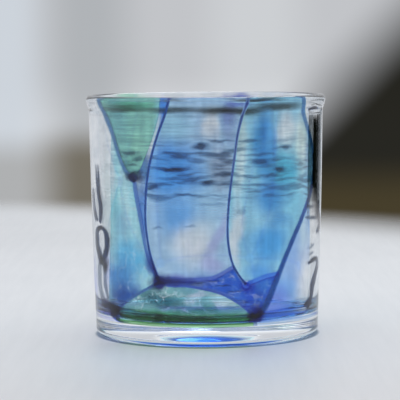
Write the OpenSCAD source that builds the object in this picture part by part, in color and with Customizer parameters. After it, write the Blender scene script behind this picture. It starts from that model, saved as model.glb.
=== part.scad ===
// Hand-blown rocks glass: a clear casing with a heavy base, a clear inner lining, and between
// them one layer of coloured glass plates laid edge to edge, with dark canes along the joins.
// Millimetres, +Z up, origin at the middle of the underside. Angles round the wall are degrees
// from the front, -Y, towards +X. Heights on the wall are shares of the lining's height.

/* [Body] */
// Height from the table to the top of the lip
glass_h = 88; // [76:1:104]
// Outside diameter that the wall has at the lip
rim_d = 88; // [78:1:98]
// Outside diameter of the wall's line carried down to the table
foot_d = 82; // [74:1:92]
// How far the wall swells outside a straight line at mid height
belly_w = 0.2; // [0:0.1:1.5]
// How far the lip turns out past the wall under it
flare_w = 0.9; // [0:0.1:1.5]
// Height over which it turns out
flare_h = 5; // [4:0.5:10]
// Thickness of the glass under the drink
floor_t = 8; // [6:0.5:12]
// Radius of the rounded heel
heel_r = 2.5; // [1.5:0.5:4]
// Radius of the inside corner between wall and floor
corner_r = 7; // [5:0.5:9]

/* [Wall layers] */
// Thickness of the clear outer casing
casing_t = 1.6; // [1.2:0.1:2.4]
// Thickness of the coloured layer
colour_t = 0.8; // [0.5:0.1:1]
// Thickness of the clear inner lining
lining_t = 0.8; // [0.5:0.1:1.2]
// Height of straight clear glass between the lining and the rounded lip
lip_h = 0.6; // [0.2:0.1:1]
// Thickness of clear glass over the coloured layer, which reaches up into the lip
cover_t = 0.4; // [0.2:0.1:0.8]

/* [Pontil mark] */
// Diameter of the ground and polished dish under the base
pontil_d = 26; // [18:1:34]
// Depth of that dish
pontil_depth = 1.2; // [0.6:0.1:1.8]

/* [Canes] */
// Width of a cane where it is thinnest
cane_w = 0.9; // [0.8:0.05:1.3]
// Radius of the knot where canes run together
knot_r = 1.7; // [1.5:0.1:2.2]
// Radius of the hub where the floor's canes meet
hub_r = 4; // [3:0.5:6]
// Gap between neighbouring pieces of the coloured layer
seam = 0.04; // [0.02:0.01:0.08]

/* [Hidden] */
$fn = 96;

wall_t = casing_t + colour_t + lining_t;
lip_mid = glass_h - wall_t / 2; // where the rounded lip starts
lip_z = lip_mid - lip_h; // top of the lining, and height share 1
colour_top = lip_mid + sqrt(pow(wall_t / 2, 2) - pow(wall_t / 2 - lining_t, 2)) - cover_t;
corner_z = floor_t + corner_r;
inner_side = lining_t; // how far the coloured layer's faces lie outside the drink's side
outer_side = lining_t + colour_t;
reach = rim_d; // length of a cutter, past everything it cuts
knot_turn = 40; // keeps a knot's seam line clear of the canes' edges

wall_steps = 9;
flare_steps = 5;
arc_steps = 8;
curve_steps = 3; // spline steps between two points of a cane

clear_tint = [0.86, 0.92, 0.94, 0.3];
navy = [0.10, 0.16, 0.46];
green = [0.36, 0.66, 0.60];
sky = [0.45, 0.62, 0.85];
teal = [0.35, 0.66, 0.80];
aqua = [0.60, 0.80, 0.86];
royal = [0.19, 0.30, 0.74];
violet = [0.42, 0.45, 0.80];
pale = [0.78, 0.86, 0.93];

// Paths of the canes round the front: [angle, height share, width share of cane_w]
wedge_left_shares = [[-64, 1.03, 2.4], [-58, 0.94, 2.3], [-53, 0.87, 2.0], [-49.5, 0.8, 1.7],
    [-46.5, 0.74, 1.6], [-43, 0.69, 1.6], [-38, 0.66, 1.6]];
wedge_right_shares = [[-21.5, 1.03, 0], [-23, 0.96, 0], [-25.5, 0.88, 0], [-28.5, 0.81, 0],
    [-32, 0.74, 0], [-35, 0.69, 0], [-38, 0.66, 0]]; // a plain join, so no width
strip_shares = [[-38, 0.66, 1.4], [-37, 0.59, 1.5], [-35.5, 0.52, 1.4], [-34, 0.45, 1.2],
    [-32.5, 0.37, 1], [-30, 0.29, 1], [-24.5, 0.19, 1.4]];
lobe_left_shares = [[-17, 1.03, 1.2], [-20.5, 0.94, 1.1], [-24, 0.86, 1], [-27, 0.78, 1],
    [-29.3, 0.7, 1.1], [-30.7, 0.62, 1.2], [-31.5, 0.54, 1.1], [-31.6, 0.46, 1],
    [-30.5, 0.37, 1], [-28.5, 0.29, 1.1], [-24.5, 0.19, 1.6]];
lobe_mid_shares = [[21, 1.03, 1.6], [18, 0.95, 1.3], [15.5, 0.86, 1.1], [13.8, 0.75, 1],
    [12, 0.63, 1], [10.8, 0.52, 1], [10.4, 0.42, 1], [11.2, 0.34, 1], [13, 0.275, 1],
    [16, 0.225, 1.1], [20, 0.18, 1.3]];
lobe_right_shares = [[54, 1.03, 2.2], [55.5, 0.96, 2.2], [58.5, 0.9, 2], [62.5, 0.84, 2],
    [66, 0.78, 1.8], [67.5, 0.71, 1.7], [66.8, 0.64, 1.9], [64, 0.575, 2.2], [60, 0.52, 2.2],
    [55, 0.455, 2.1], [49.5, 0.385, 2], [44.5, 0.31, 2], [40.5, 0.245, 2.1], [37, 0.18, 2.3],
    [33.5, 0.115, 2.3], [30, 0.06, 2.3], [26, 0.02, 2.3]];
lobe_base_shares = [[-24.5, 0.19, 1.6], [-19, 0.207, 1.2], [-12, 0.203, 1], [-4, 0.207, 1],
    [4, 0.217, 1], [13.4, 0.262, 1]];
teal_base_shares = [[20, 0.18, 1.3], [26, 0.197, 1.2], [32, 0.212, 1.2], [39, 0.22, 1.2]];
lens_right_shares = [[-24.5, 0.19, 1.6], [-18, 0.178, 1.3], [-11, 0.178, 1.1], [-4, 0.169, 1],
    [3, 0.155, 1.1], [9, 0.136, 1.2], [15, 0.105, 1.3], [20, 0.072, 1.4], [26, 0.02, 2]];
lens_left_shares = [[-24.5, 0.19, 1.6], [-31, 0.16, 1.2], [-38, 0.128, 1.1], [-45.5, 0.09, 1.2],
    [-53, 0.048, 1.4], [-60, 0.02, 2]];
side_fade_shares = [[-53, 0.87, 0], [-54.5, 0.7, 0], [-55, 0.55, 0], [-56, 0.4, 0], [-58, 0.25, 0],
    [-59.5, 0.12, 0], [-60, 0.02, 0]]; // a plain join
foot_fade_shares = [[62.5, 0.55, 0], [63.5, 0.42, 0], [64, 0.28, 0], [63, 0.14, 0], [61, -0.03, 0]]; // too

// Paths of the canes round the back
back_right_shares = [[102, 1.03, 1.4], [98, 0.85, 1], [95.5, 0.66, 1], [97, 0.47, 1],
    [102, 0.32, 1.1], [112, 0.19, 1.5]];
band_right_shares = [[135, 1.03, 1.2], [136.5, 0.82, 1], [138, 0.62, 1], [141, 0.46, 1],
    [146, 0.33, 1.1], [154, 0.2, 1.4]];
band_left_shares = [[152, 1.03, 1.2], [151, 0.82, 1], [153, 0.62, 1], [157, 0.47, 1],
    [159, 0.33, 1.1], [154, 0.2, 1.4]];
back_mid_shares = [[203, 1.03, 1.2], [206, 0.85, 1], [208.5, 0.66, 1], [209.5, 0.47, 1],
    [209, 0.32, 1.1], [208, 0.18, 1.5]];
back_wedge_right_shares = [[220, 1.03, 1.6], [224, 0.88, 1.3], [230, 0.74, 1.2], [238, 0.6, 1.6]];
back_wedge_left_shares = [[264, 1.03, 1.6], [258, 0.88, 1.3], [249, 0.74, 1.2], [238, 0.6, 1.6]];
back_stem_shares = [[238, 0.6, 1.6], [235, 0.48, 1.2], [229, 0.36, 1.1], [220, 0.26, 1.2],
    [208, 0.18, 1.5]];
back_left_shares = [[238, 0.6, 1.6], [248, 0.48, 1.2], [259, 0.36, 1.1], [269, 0.24, 1.1],
    [278, 0.12, 1.3], [286, -0.03, 1.8]];
back_lens_top_right_shares = [[112, 0.19, 1.5], [122, 0.205, 1.1], [138, 0.207, 1.1], [154, 0.2, 1.4]];
back_lens_top_left_shares = [[154, 0.2, 1.4], [170, 0.212, 1], [190, 0.207, 1], [208, 0.18, 1.5]];
back_lens_right_shares = [[112, 0.19, 1.5], [106, 0.13, 1.1], [100, 0.07, 1.1], [94, 0.02, 1.8]];
back_lens_left_shares = [[208, 0.18, 1.5], [217, 0.13, 1.1], [225, 0.075, 1.1], [232, 0.02, 1.8]];
back_foot_shares = [[154, 0.2, 1.4], [151.5, 0.14, 1.1], [151, 0.08, 1.1], [152, 0.02, 1.4]];

// Knots where canes run together: [angle, height share, radius share of knot_r]
wedge_knot_shares = [-38, 0.66, 1];
lens_knot_shares = [-24.5, 0.19, 1.25];
lobe_knot_shares = [20, 0.18, 0.8];
right_foot_knot_shares = [26, 0.02, 1.3];
left_foot_knot_shares = [-60, 0.02, 1.3];
back_right_knot_shares = [112, 0.19, 1];
back_mid_knot_shares = [154, 0.2, 1];
back_left_knot_shares = [208, 0.18, 1];
back_wedge_knot_shares = [238, 0.6, 1];
back_right_foot_knot_shares = [94, 0.02, 1.3];
back_left_foot_knot_shares = [232, 0.02, 1.3];
back_foot_knot_shares = [152, 0.02, 1.1];

// Places along a path, counted in its points from 0, where another path meets it
wedge_left_fade_at = 2;
lobe_mid_base_at = 8;
lobe_right_fade_at = 8;
lobe_right_base_at = 12;
lobe_right_lens_at = 15;

under_share = -0.03; // a height share just under the coloured wall
knot_lap = 1.5; // degrees that a plate's lower corner reaches behind a foot knot

// Directions shared by plates that meet at a plain join, so that their faces match there
wedge_aim = -32;
left_aim = -75;
right_aim = 66;

// Canes on the floor: angle at the wall, and how far they swirl on their way to the hub
floor_cane_angles = [26, 94, 232, 300];
floor_swirl = 24;
floor_cane_width_share = 1.5;

// Outline of the glass

flare_z = lip_mid - flare_h; // where the wall starts to turn out
function eased(t) = t * t * (3 - 2 * t);
function wall_line(z) = let (s = z / glass_h, turn = min(max((z - flare_z) / flare_h, 0), 1))
    foot_d / 2 + ((rim_d - foot_d) / 2 - flare_w) * s + 4 * belly_w * s * (1 - s) + flare_w * eased(turn);
function drink_line(z) = wall_line(z) - wall_t;
function wall_heights(from, to) = concat(
    [for (i = [1 : wall_steps]) from + (flare_z - from) * i / wall_steps],
    [for (i = [1 : flare_steps]) flare_z + (to - flare_z) * i / flare_steps]);
corner_x = drink_line(corner_z) - corner_r;

function reversed(list) = [for (i = [len(list) - 1 : -1 : 0]) list[i]];
function arc(centre, radius, from, to) = [for (i = [0 : arc_steps])
    let (a = from + (to - from) * i / arc_steps) centre + radius * [cos(a), sin(a)]];

// Angle at which the corner's arc, out mm outside the drink's side, is level with the floor
function floor_level_angle(out) = -asin(corner_r / (corner_r + out));
function corner_arc(out, from, to) = arc([corner_x, corner_z], corner_r + out, from, to);
function side_line(out) = [for (z = wall_heights(corner_z, lip_z)) [drink_line(z) + out, z]];
function cup_line(out) = concat([[0, floor_t - out]], corner_arc(out, -90, 0), side_line(out));

// The two parts of the coloured layer meet level with the top of the floor
function colour_side_line(out) = concat(corner_arc(out, floor_level_angle(out), 0), side_line(out),
    [[drink_line(colour_top) + out, colour_top]]);
function colour_floor_line(out) = concat([[0, floor_t - out]],
    corner_arc(out, -90, floor_level_angle(out)));

module turned(inner, outer) rotate_extrude() polygon(concat(inner, reversed(outer)));
module colour_wall() turned(colour_side_line(inner_side), colour_side_line(outer_side));
module colour_floor() turned(colour_floor_line(inner_side), colour_floor_line(outer_side));

// Radius of the coloured layer's middle at a height
function mid_line(z) = let (out = (inner_side + outer_side) / 2, y = min(max(z, floor_t), lip_z))
    y >= corner_z ? drink_line(y) + out
    : corner_x + sqrt(pow(corner_r + out, 2) - pow(corner_z - y, 2));
function foot_corner(knot, lap) = [[knot[0] + lap, under_share]];
function height(share) = floor_t + share * (lip_z - floor_t);

// Curves on the wall. A point is [angle, height share, width share].

function spline_point(p, q, r, s, t) = ((2 * q) + (r - p) * t + (2 * p - 5 * q + 4 * r - s) * t * t
    + (3 * q - p - 3 * r + s) * t * t * t) / 2;
function smooth(path) = let (last = len(path) - 1) concat(
    [for (i = [0 : last - 1], k = [0 : curve_steps - 1]) spline_point(
        path[max(i - 1, 0)], path[i], path[i + 1], path[min(i + 2, last)], k / curve_steps)],
    [path[last]]);
function stretch(path, from, to) = let (curve = smooth(path))
    [for (i = [from * curve_steps : (from < to ? 1 : -1) : to * curve_steps]) curve[i]];
function down(path) = smooth(path);
function up(path) = reversed(smooth(path));
function turned_back(curve) = [for (p = curve) [p[0] - 360, p[1], p[2]]];
function per_degree(z) = mid_line(z) * PI / 180;

// A point moved sideways off a curve by side, in mm, square to the curve's run
function beside(before, at, after, side) = let (
    z = height(at[1]),
    along = [(after[0] - before[0]) * per_degree(z), height(after[1]) - height(before[1])],
    square = [-along[1], along[0]] / norm(along))
    [at[0] + square[0] * side / per_degree(z), z + square[1] * side];
function edge(curve, sign, extra) = let (last = len(curve) - 1) [for (i = [0 : last])
    beside(curve[max(i - 1, 0)], curve[i], curve[min(i + 1, last)],
        sign * (curve[i][2] * cane_w / 2 + extra))];
function ribbon(path, extra) = let (curve = smooth(path))
    concat(edge(curve, 1, extra), reversed(edge(curve, -1, extra)));

// Cutters that run outwards through the wall, aimed along the middle of what they cut

function middle_angle(outline) = (min([for (p = outline) p[0]]) + max([for (p = outline) p[0]])) / 2;
module outward(outline, direction) {
    aim = is_undef(direction) ? middle_angle(outline) : direction;
    rotate([90, 0, aim]) linear_extrude(reach)
        polygon([for (p = outline) [mid_line(p[1]) * sin(p[0] - aim), p[1]]]);
}
module cane_cutter(path, extra = seam, direction) outward(ribbon(path, extra), direction);
module knot_cutter(knot, extra = seam) rotate([90, 0, knot[0]])
    translate([0, height(knot[1])]) rotate(knot_turn) cylinder(h = reach, r = knot[2] * knot_r + extra);

module foot_knot_cutter(knot, extra = seam) {
    half = knot[2] * knot_r + extra;
    knot_cutter(knot, extra);
    rotate([90, 0, knot[0]]) translate([-half, 0]) cube([2 * half, height(knot[1]), reach]);
}

// Pieces of the coloured wall. Their children are the neighbours that cut them back.

module plate(tint, outline, direction) color(tint) difference() {
    intersection() {
        colour_wall();
        outward([for (p = outline) [p[0], height(p[1])]], direction);
    }
    children();
}
module cane(tint, path, knots = [], foot_knots = []) color(tint) difference() {
    intersection() {
        colour_wall();
        union() {
            cane_cutter(path, 0);
            for (k = knots) knot_cutter(k, 0);
            for (k = foot_knots) foot_knot_cutter(k, 0);
        }
    }
    children();
}

// Pieces of the coloured floor

function swirled(angle, share) = angle + floor_swirl * (1 - share);
floor_rim_r = mid_line(floor_t) + knot_r;
function floor_point(angle, share, side = 0) = let (a = swirled(angle, share), r = floor_rim_r * share)
    [r * sin(a) + side * cos(a), -r * cos(a) + side * sin(a)];
function floor_curve(angle, side = 0) = [for (i = [0 : arc_steps])
    floor_point(angle, i / arc_steps, side)];
module floor_cane_cutter(angle, extra = seam) {
    half = floor_cane_width_share * cane_w / 2 + extra;
    linear_extrude(floor_t) polygon(concat(floor_curve(angle, half), reversed(floor_curve(angle, -half))));
}
module floor_plate(tint, from, to) color(tint) difference() {
    intersection() {
        colour_floor();
        linear_extrude(floor_t) polygon(concat(floor_curve(from),
            [for (i = [1 : arc_steps]) floor_point(from + (to - from) * i / arc_steps, 1) * 2],
            reversed(floor_curve(to))));
    }
    cylinder(h = floor_t, r = hub_r + seam);
    floor_cane_cutter(from);
    floor_cane_cutter(to);
}

// Clear glass

module outer_casing() {
    dish_r = (pow(pontil_d / 2, 2) + pow(pontil_depth, 2)) / (2 * pontil_depth);
    color(clear_tint) difference() {
        rotate_extrude() polygon(concat(
            [[0, 0]],
            arc([wall_line(heel_r) - heel_r, heel_r], heel_r, -90, 0),
            [for (z = wall_heights(heel_r, lip_z)) [wall_line(z), z]],
            arc([wall_line(lip_mid) - wall_t / 2, lip_mid], wall_t / 2, 0, 180),
            [[drink_line(lip_z), lip_z], [drink_line(lip_z) + inner_side, lip_z],
                [drink_line(colour_top) + inner_side, colour_top],
                [drink_line(colour_top) + outer_side, colour_top]],
            reversed(cup_line(outer_side))));
        translate([0, 0, pontil_depth - dish_r]) sphere(r = dish_r);
    }
}
module inner_lining() color(clear_tint) turned(cup_line(0), cup_line(inner_side));

// Plates round the front

module wedge_green() plate(green, concat(down(wedge_left_shares), up(wedge_right_shares)), wedge_aim) {
    cane_cutter(wedge_left_shares);
    cane_cutter(wedge_right_shares, seam, wedge_aim);
    knot_cutter(wedge_knot_shares);
}
module strip_pale() plate(pale, concat(down(wedge_right_shares), down(strip_shares),
    up(lobe_left_shares)), wedge_aim) {
    cane_cutter(wedge_right_shares, seam, wedge_aim);
    cane_cutter(strip_shares);
    cane_cutter(lobe_left_shares);
    knot_cutter(wedge_knot_shares);
    knot_cutter(lens_knot_shares);
}
module lobe_blue() plate(sky, concat(down(lobe_left_shares), down(lobe_base_shares),
    stretch(lobe_mid_shares, lobe_mid_base_at, 0))) {
    cane_cutter(lobe_left_shares);
    cane_cutter(lobe_base_shares);
    cane_cutter(lobe_mid_shares);
    knot_cutter(lens_knot_shares);
}
module lobe_teal() plate(teal, concat(down(lobe_mid_shares), down(teal_base_shares),
    stretch(lobe_right_shares, lobe_right_base_at, 0))) {
    cane_cutter(lobe_mid_shares);
    cane_cutter(teal_base_shares);
    cane_cutter(lobe_right_shares);
    knot_cutter(lobe_knot_shares);
}
module side_aqua() plate(aqua, concat(
    stretch(wedge_left_shares, wedge_left_fade_at, len(wedge_left_shares) - 1), down(strip_shares),
    down(lens_left_shares), up(side_fade_shares)), left_aim) {
    cane_cutter(wedge_left_shares);
    cane_cutter(strip_shares);
    cane_cutter(lens_left_shares);
    cane_cutter(side_fade_shares, seam, left_aim);
    knot_cutter(wedge_knot_shares);
    knot_cutter(lens_knot_shares);
    foot_knot_cutter(left_foot_knot_shares);
}
module side_clear_left() plate(clear_tint, concat(stretch(wedge_left_shares, 0, wedge_left_fade_at),
    down(side_fade_shares), foot_corner(left_foot_knot_shares, -knot_lap),
    turned_back(up(back_left_shares)), turned_back(up(back_wedge_left_shares))), left_aim) {
    cane_cutter(wedge_left_shares);
    cane_cutter(side_fade_shares, seam, left_aim);
    cane_cutter(back_left_shares);
    cane_cutter(back_wedge_left_shares);
    foot_knot_cutter(left_foot_knot_shares);
    knot_cutter(back_wedge_knot_shares);
}
module lens_green() plate(green, concat(down(lens_left_shares),
    foot_corner(left_foot_knot_shares, knot_lap), foot_corner(right_foot_knot_shares, -knot_lap),
    up(lens_right_shares))) {
    cane_cutter(lens_left_shares);
    cane_cutter(lens_right_shares);
    knot_cutter(lens_knot_shares);
    foot_knot_cutter(left_foot_knot_shares);
    foot_knot_cutter(right_foot_knot_shares);
}
module foot_royal() plate(royal, concat(down(lens_right_shares),
    stretch(lobe_right_shares, lobe_right_lens_at, lobe_right_base_at), up(teal_base_shares),
    [lobe_mid_shares[lobe_mid_base_at + 1], lobe_mid_shares[lobe_mid_base_at]],
    up(lobe_base_shares))) {
    cane_cutter(lens_right_shares);
    cane_cutter(lobe_right_shares);
    cane_cutter(teal_base_shares);
    cane_cutter(lobe_mid_shares);
    cane_cutter(lobe_base_shares);
    knot_cutter(lens_knot_shares);
    knot_cutter(lobe_knot_shares);
    foot_knot_cutter(right_foot_knot_shares);
}
module foot_violet() plate(violet, concat(
    stretch(lobe_right_shares, lobe_right_fade_at, len(lobe_right_shares) - 1),
    foot_corner(right_foot_knot_shares, knot_lap), up(foot_fade_shares)), right_aim) {
    cane_cutter(lobe_right_shares);
    cane_cutter(foot_fade_shares, seam, right_aim);
    foot_knot_cutter(right_foot_knot_shares);
}
module side_clear_right() plate(clear_tint, concat(stretch(lobe_right_shares, 0, lobe_right_fade_at - 1),
    down(foot_fade_shares), foot_corner(back_right_foot_knot_shares, -knot_lap),
    up(back_lens_right_shares), up(back_right_shares)), right_aim) {
    cane_cutter(lobe_right_shares);
    cane_cutter(foot_fade_shares, seam, right_aim);
    cane_cutter(back_lens_right_shares);
    cane_cutter(back_right_shares);
    knot_cutter(back_right_knot_shares);
    foot_knot_cutter(back_right_foot_knot_shares);
}

// Plates round the back

module back_aqua() plate(aqua, concat(down(back_right_shares), down(back_lens_top_right_shares),
    up(band_right_shares))) {
    cane_cutter(back_right_shares);
    cane_cutter(back_lens_top_right_shares);
    cane_cutter(band_right_shares);
    knot_cutter(back_right_knot_shares);
    knot_cutter(back_mid_knot_shares);
}
module back_band() plate(sky, concat(down(band_right_shares), up(band_left_shares))) {
    cane_cutter(band_right_shares);
    cane_cutter(band_left_shares);
    knot_cutter(back_mid_knot_shares);
}
module back_sky() plate(sky, concat(down(band_left_shares), down(back_lens_top_left_shares),
    up(back_mid_shares))) {
    cane_cutter(band_left_shares);
    cane_cutter(back_lens_top_left_shares);
    cane_cutter(back_mid_shares);
    knot_cutter(back_mid_knot_shares);
    knot_cutter(back_left_knot_shares);
}
module back_pale() plate(pale, concat(down(back_mid_shares), up(back_stem_shares),
    up(back_wedge_right_shares))) {
    cane_cutter(back_mid_shares);
    cane_cutter(back_stem_shares);
    cane_cutter(back_wedge_right_shares);
    knot_cutter(back_left_knot_shares);
    knot_cutter(back_wedge_knot_shares);
}
module back_wedge() plate(green, concat(down(back_wedge_right_shares), up(back_wedge_left_shares))) {
    cane_cutter(back_wedge_right_shares);
    cane_cutter(back_wedge_left_shares);
    knot_cutter(back_wedge_knot_shares);
}
module back_violet() plate(violet, concat(down(back_stem_shares), down(back_lens_left_shares),
    foot_corner(back_left_foot_knot_shares, knot_lap), up(back_left_shares))) {
    cane_cutter(back_stem_shares);
    cane_cutter(back_lens_left_shares);
    cane_cutter(back_left_shares);
    knot_cutter(back_wedge_knot_shares);
    knot_cutter(back_left_knot_shares);
    foot_knot_cutter(back_left_foot_knot_shares);
}
module back_lens_teal() plate(teal, concat(down(back_lens_top_right_shares), down(back_foot_shares),
    foot_corner(back_foot_knot_shares, 0), foot_corner(back_right_foot_knot_shares, knot_lap),
    up(back_lens_right_shares))) {
    cane_cutter(back_lens_top_right_shares);
    cane_cutter(back_foot_shares);
    cane_cutter(back_lens_right_shares);
    knot_cutter(back_right_knot_shares);
    knot_cutter(back_mid_knot_shares);
    foot_knot_cutter(back_foot_knot_shares);
    foot_knot_cutter(back_right_foot_knot_shares);
}
module back_lens_blue() plate(royal, concat(down(back_lens_top_left_shares), down(back_lens_left_shares),
    foot_corner(back_left_foot_knot_shares, -knot_lap), foot_corner(back_foot_knot_shares, 0),
    up(back_foot_shares))) {
    cane_cutter(back_lens_top_left_shares);
    cane_cutter(back_lens_left_shares);
    cane_cutter(back_foot_shares);
    knot_cutter(back_mid_knot_shares);
    knot_cutter(back_left_knot_shares);
    foot_knot_cutter(back_foot_knot_shares);
    foot_knot_cutter(back_left_foot_knot_shares);
}

// Canes round the front. A cane keeps the knots listed with it and ends at its neighbours.

module cane_wedge_left() cane(navy, wedge_left_shares, [wedge_knot_shares]);
module cane_strip() cane(violet, strip_shares) {
    knot_cutter(wedge_knot_shares);
    knot_cutter(lens_knot_shares);
    cane_cutter(lobe_left_shares);
}
module cane_lobe_left() cane(navy, lobe_left_shares) knot_cutter(lens_knot_shares);
module cane_lobe_mid() cane(navy, lobe_mid_shares, [lobe_knot_shares]);
module cane_lobe_right() cane(navy, lobe_right_shares, [], [right_foot_knot_shares]);
module cane_lobe_base() cane(violet, lobe_base_shares) {
    knot_cutter(lens_knot_shares);
    cane_cutter(lobe_mid_shares);
    cane_cutter(lens_right_shares);
}
module cane_teal_base() cane(royal, teal_base_shares) {
    knot_cutter(lobe_knot_shares);
    cane_cutter(lobe_right_shares);
}
module cane_lens_right() cane(navy, lens_right_shares) {
    knot_cutter(lens_knot_shares);
    foot_knot_cutter(right_foot_knot_shares);
    cane_cutter(lobe_right_shares);
}
module cane_lens_left() cane(navy, lens_left_shares, [lens_knot_shares],
    [left_foot_knot_shares]);

// Canes round the back

module cane_back_right() cane(navy, back_right_shares, [back_right_knot_shares]);
module cane_band_right() cane(royal, band_right_shares) knot_cutter(back_mid_knot_shares);
module cane_band_left() cane(royal, band_left_shares, [back_mid_knot_shares]);
module cane_back_mid() cane(navy, back_mid_shares, [back_left_knot_shares]);
module cane_back_wedge_right() cane(navy, back_wedge_right_shares) knot_cutter(back_wedge_knot_shares);
module cane_back_wedge_left() cane(navy, back_wedge_left_shares, [back_wedge_knot_shares]);
module cane_back_stem() cane(navy, back_stem_shares) {
    knot_cutter(back_wedge_knot_shares);
    knot_cutter(back_left_knot_shares);
}
module cane_back_left() cane(navy, back_left_shares) knot_cutter(back_wedge_knot_shares);
module cane_back_lens_top_right() cane(navy, back_lens_top_right_shares) {
    knot_cutter(back_right_knot_shares);
    knot_cutter(back_mid_knot_shares);
}
module cane_back_lens_top_left() cane(navy, back_lens_top_left_shares) {
    knot_cutter(back_mid_knot_shares);
    knot_cutter(back_left_knot_shares);
}
module cane_back_lens_right() cane(navy, back_lens_right_shares, [], [back_right_foot_knot_shares])
    knot_cutter(back_right_knot_shares);
module cane_back_lens_left() cane(navy, back_lens_left_shares, [], [back_left_foot_knot_shares])
    knot_cutter(back_left_knot_shares);
module cane_back_foot() cane(navy, back_foot_shares, [], [back_foot_knot_shares])
    knot_cutter(back_mid_knot_shares);

// Pieces of the floor

module floor_green() floor_plate(green, floor_cane_angles[3] - 360, floor_cane_angles[0]);
module floor_blue() floor_plate(sky, floor_cane_angles[0], floor_cane_angles[1]);
module floor_aqua() floor_plate(aqua, floor_cane_angles[1], floor_cane_angles[2]);
module floor_violet() floor_plate(violet, floor_cane_angles[2], floor_cane_angles[3]);
module floor_hub() color(royal) intersection() {
    colour_floor();
    cylinder(h = floor_t, r = hub_r);
}
module floor_cane(angle) color(navy) difference() {
    intersection() {
        colour_floor();
        floor_cane_cutter(angle, 0);
    }
    cylinder(h = floor_t, r = hub_r + seam);
}
module cane_floor_front() floor_cane(floor_cane_angles[0]);
module cane_floor_right() floor_cane(floor_cane_angles[1]);
module cane_floor_back() floor_cane(floor_cane_angles[2]);
module cane_floor_left() floor_cane(floor_cane_angles[3]);

outer_casing();
inner_lining();
wedge_green();
strip_pale();
lobe_blue();
lobe_teal();
side_aqua();
side_clear_left();
lens_green();
foot_royal();
foot_violet();
side_clear_right();
back_aqua();
back_band();
back_sky();
back_pale();
back_wedge();
back_violet();
back_lens_teal();
back_lens_blue();
floor_green();
floor_blue();
floor_aqua();
floor_violet();
floor_hub();
cane_wedge_left();
cane_strip();
cane_lobe_left();
cane_lobe_mid();
cane_lobe_right();
cane_lobe_base();
cane_teal_base();
cane_lens_right();
cane_lens_left();
cane_back_right();
cane_band_right();
cane_band_left();
cane_back_mid();
cane_back_wedge_right();
cane_back_wedge_left();
cane_back_stem();
cane_back_left();
cane_back_lens_top_right();
cane_back_lens_top_left();
cane_back_lens_right();
cane_back_lens_left();
cane_back_foot();
cane_floor_front();
cane_floor_right();
cane_floor_back();
cane_floor_left();
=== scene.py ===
"""Rocks glass: a clear, gently rippled blown body round coloured plates and soft-edged canes.

Metres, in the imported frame. On the wall a place is (angle, height share): degrees from the front,
-Y, towards +X, and a share of the height from the floor inside the glass to the lining's top.
"""
import math

import bpy
import numpy as np
from mathutils import Matrix, Vector, noise


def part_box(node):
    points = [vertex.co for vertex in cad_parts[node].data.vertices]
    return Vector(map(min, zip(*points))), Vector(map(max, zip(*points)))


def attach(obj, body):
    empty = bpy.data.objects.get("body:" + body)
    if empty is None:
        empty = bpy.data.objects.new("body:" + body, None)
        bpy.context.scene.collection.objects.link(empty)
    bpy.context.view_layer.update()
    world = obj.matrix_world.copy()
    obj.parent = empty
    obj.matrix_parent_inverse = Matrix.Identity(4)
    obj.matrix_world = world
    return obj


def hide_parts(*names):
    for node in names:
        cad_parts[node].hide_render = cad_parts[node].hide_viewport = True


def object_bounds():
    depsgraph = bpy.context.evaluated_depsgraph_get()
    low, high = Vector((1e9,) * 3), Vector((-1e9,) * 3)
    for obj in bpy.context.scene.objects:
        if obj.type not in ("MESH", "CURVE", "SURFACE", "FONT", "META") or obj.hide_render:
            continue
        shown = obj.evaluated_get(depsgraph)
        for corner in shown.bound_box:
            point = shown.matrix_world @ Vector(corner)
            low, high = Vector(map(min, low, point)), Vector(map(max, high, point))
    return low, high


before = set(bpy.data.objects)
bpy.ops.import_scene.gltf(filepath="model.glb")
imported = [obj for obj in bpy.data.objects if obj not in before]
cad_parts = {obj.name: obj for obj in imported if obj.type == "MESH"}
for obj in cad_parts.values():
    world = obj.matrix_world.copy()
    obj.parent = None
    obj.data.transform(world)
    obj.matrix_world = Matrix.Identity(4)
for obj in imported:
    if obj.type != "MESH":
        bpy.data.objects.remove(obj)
cad_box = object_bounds()

MM = 0.001

# Sizes of the body, as the frame has them
GLASS_H = cad_box[1][2]
RIM_R = 44 * MM
FOOT_R = 41 * MM
BELLY_W = 0.2 * MM
FLARE_W = 0.9 * MM
FLARE_H = 5 * MM
CASING_T = 1.6 * MM
COLOUR_T = 0.8 * MM
LINING_T = 0.8 * MM
WALL_T = CASING_T + COLOUR_T + LINING_T
HEEL_R = 2.5 * MM
CORNER_R = 7 * MM
DISH_R = 13 * MM
DISH_DEPTH = 1.2 * MM
FLOOR_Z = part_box("inner_lining")[0][2] + LINING_T
LIP_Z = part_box("inner_lining")[1][2]
COLOUR_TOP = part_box("lobe_blue")[1][2]
LIP_MID = GLASS_H - WALL_T / 2
FLARE_Z = LIP_MID - FLARE_H
CORNER_Z = FLOOR_Z + CORNER_R
MID_OUT = LINING_T + COLOUR_T / 2


def eased(t):
    """0 up to 0, 1 from 1 on, and smooth between."""
    t = min(max(t, 0), 1)
    return t * t * (3 - 2 * t)


def wall_line(z):
    """Radius of the outside at a height: nearly straight, then turned out under the lip."""
    s = z / GLASS_H
    straight = FOOT_R + (RIM_R - FLARE_W - FOOT_R) * s + 4 * BELLY_W * s * (1 - s)
    return straight + FLARE_W * eased((z - FLARE_Z) / FLARE_H)


CORNER_X = wall_line(CORNER_Z) - WALL_T - CORNER_R


def mid_line(z):
    """Radius of the coloured layer's middle at a height."""
    z = min(max(z, FLOOR_Z), COLOUR_TOP)
    if z >= CORNER_Z:
        return wall_line(z) - WALL_T + MID_OUT
    return CORNER_X + math.sqrt((CORNER_R + MID_OUT) ** 2 - (CORNER_Z - z) ** 2)


def degree_w(z):
    """Width of one degree of the coloured layer at a height."""
    return mid_line(z) * math.radians(1)


def height(share):
    return FLOOR_Z + share * (LIP_Z - FLOOR_Z)


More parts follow.
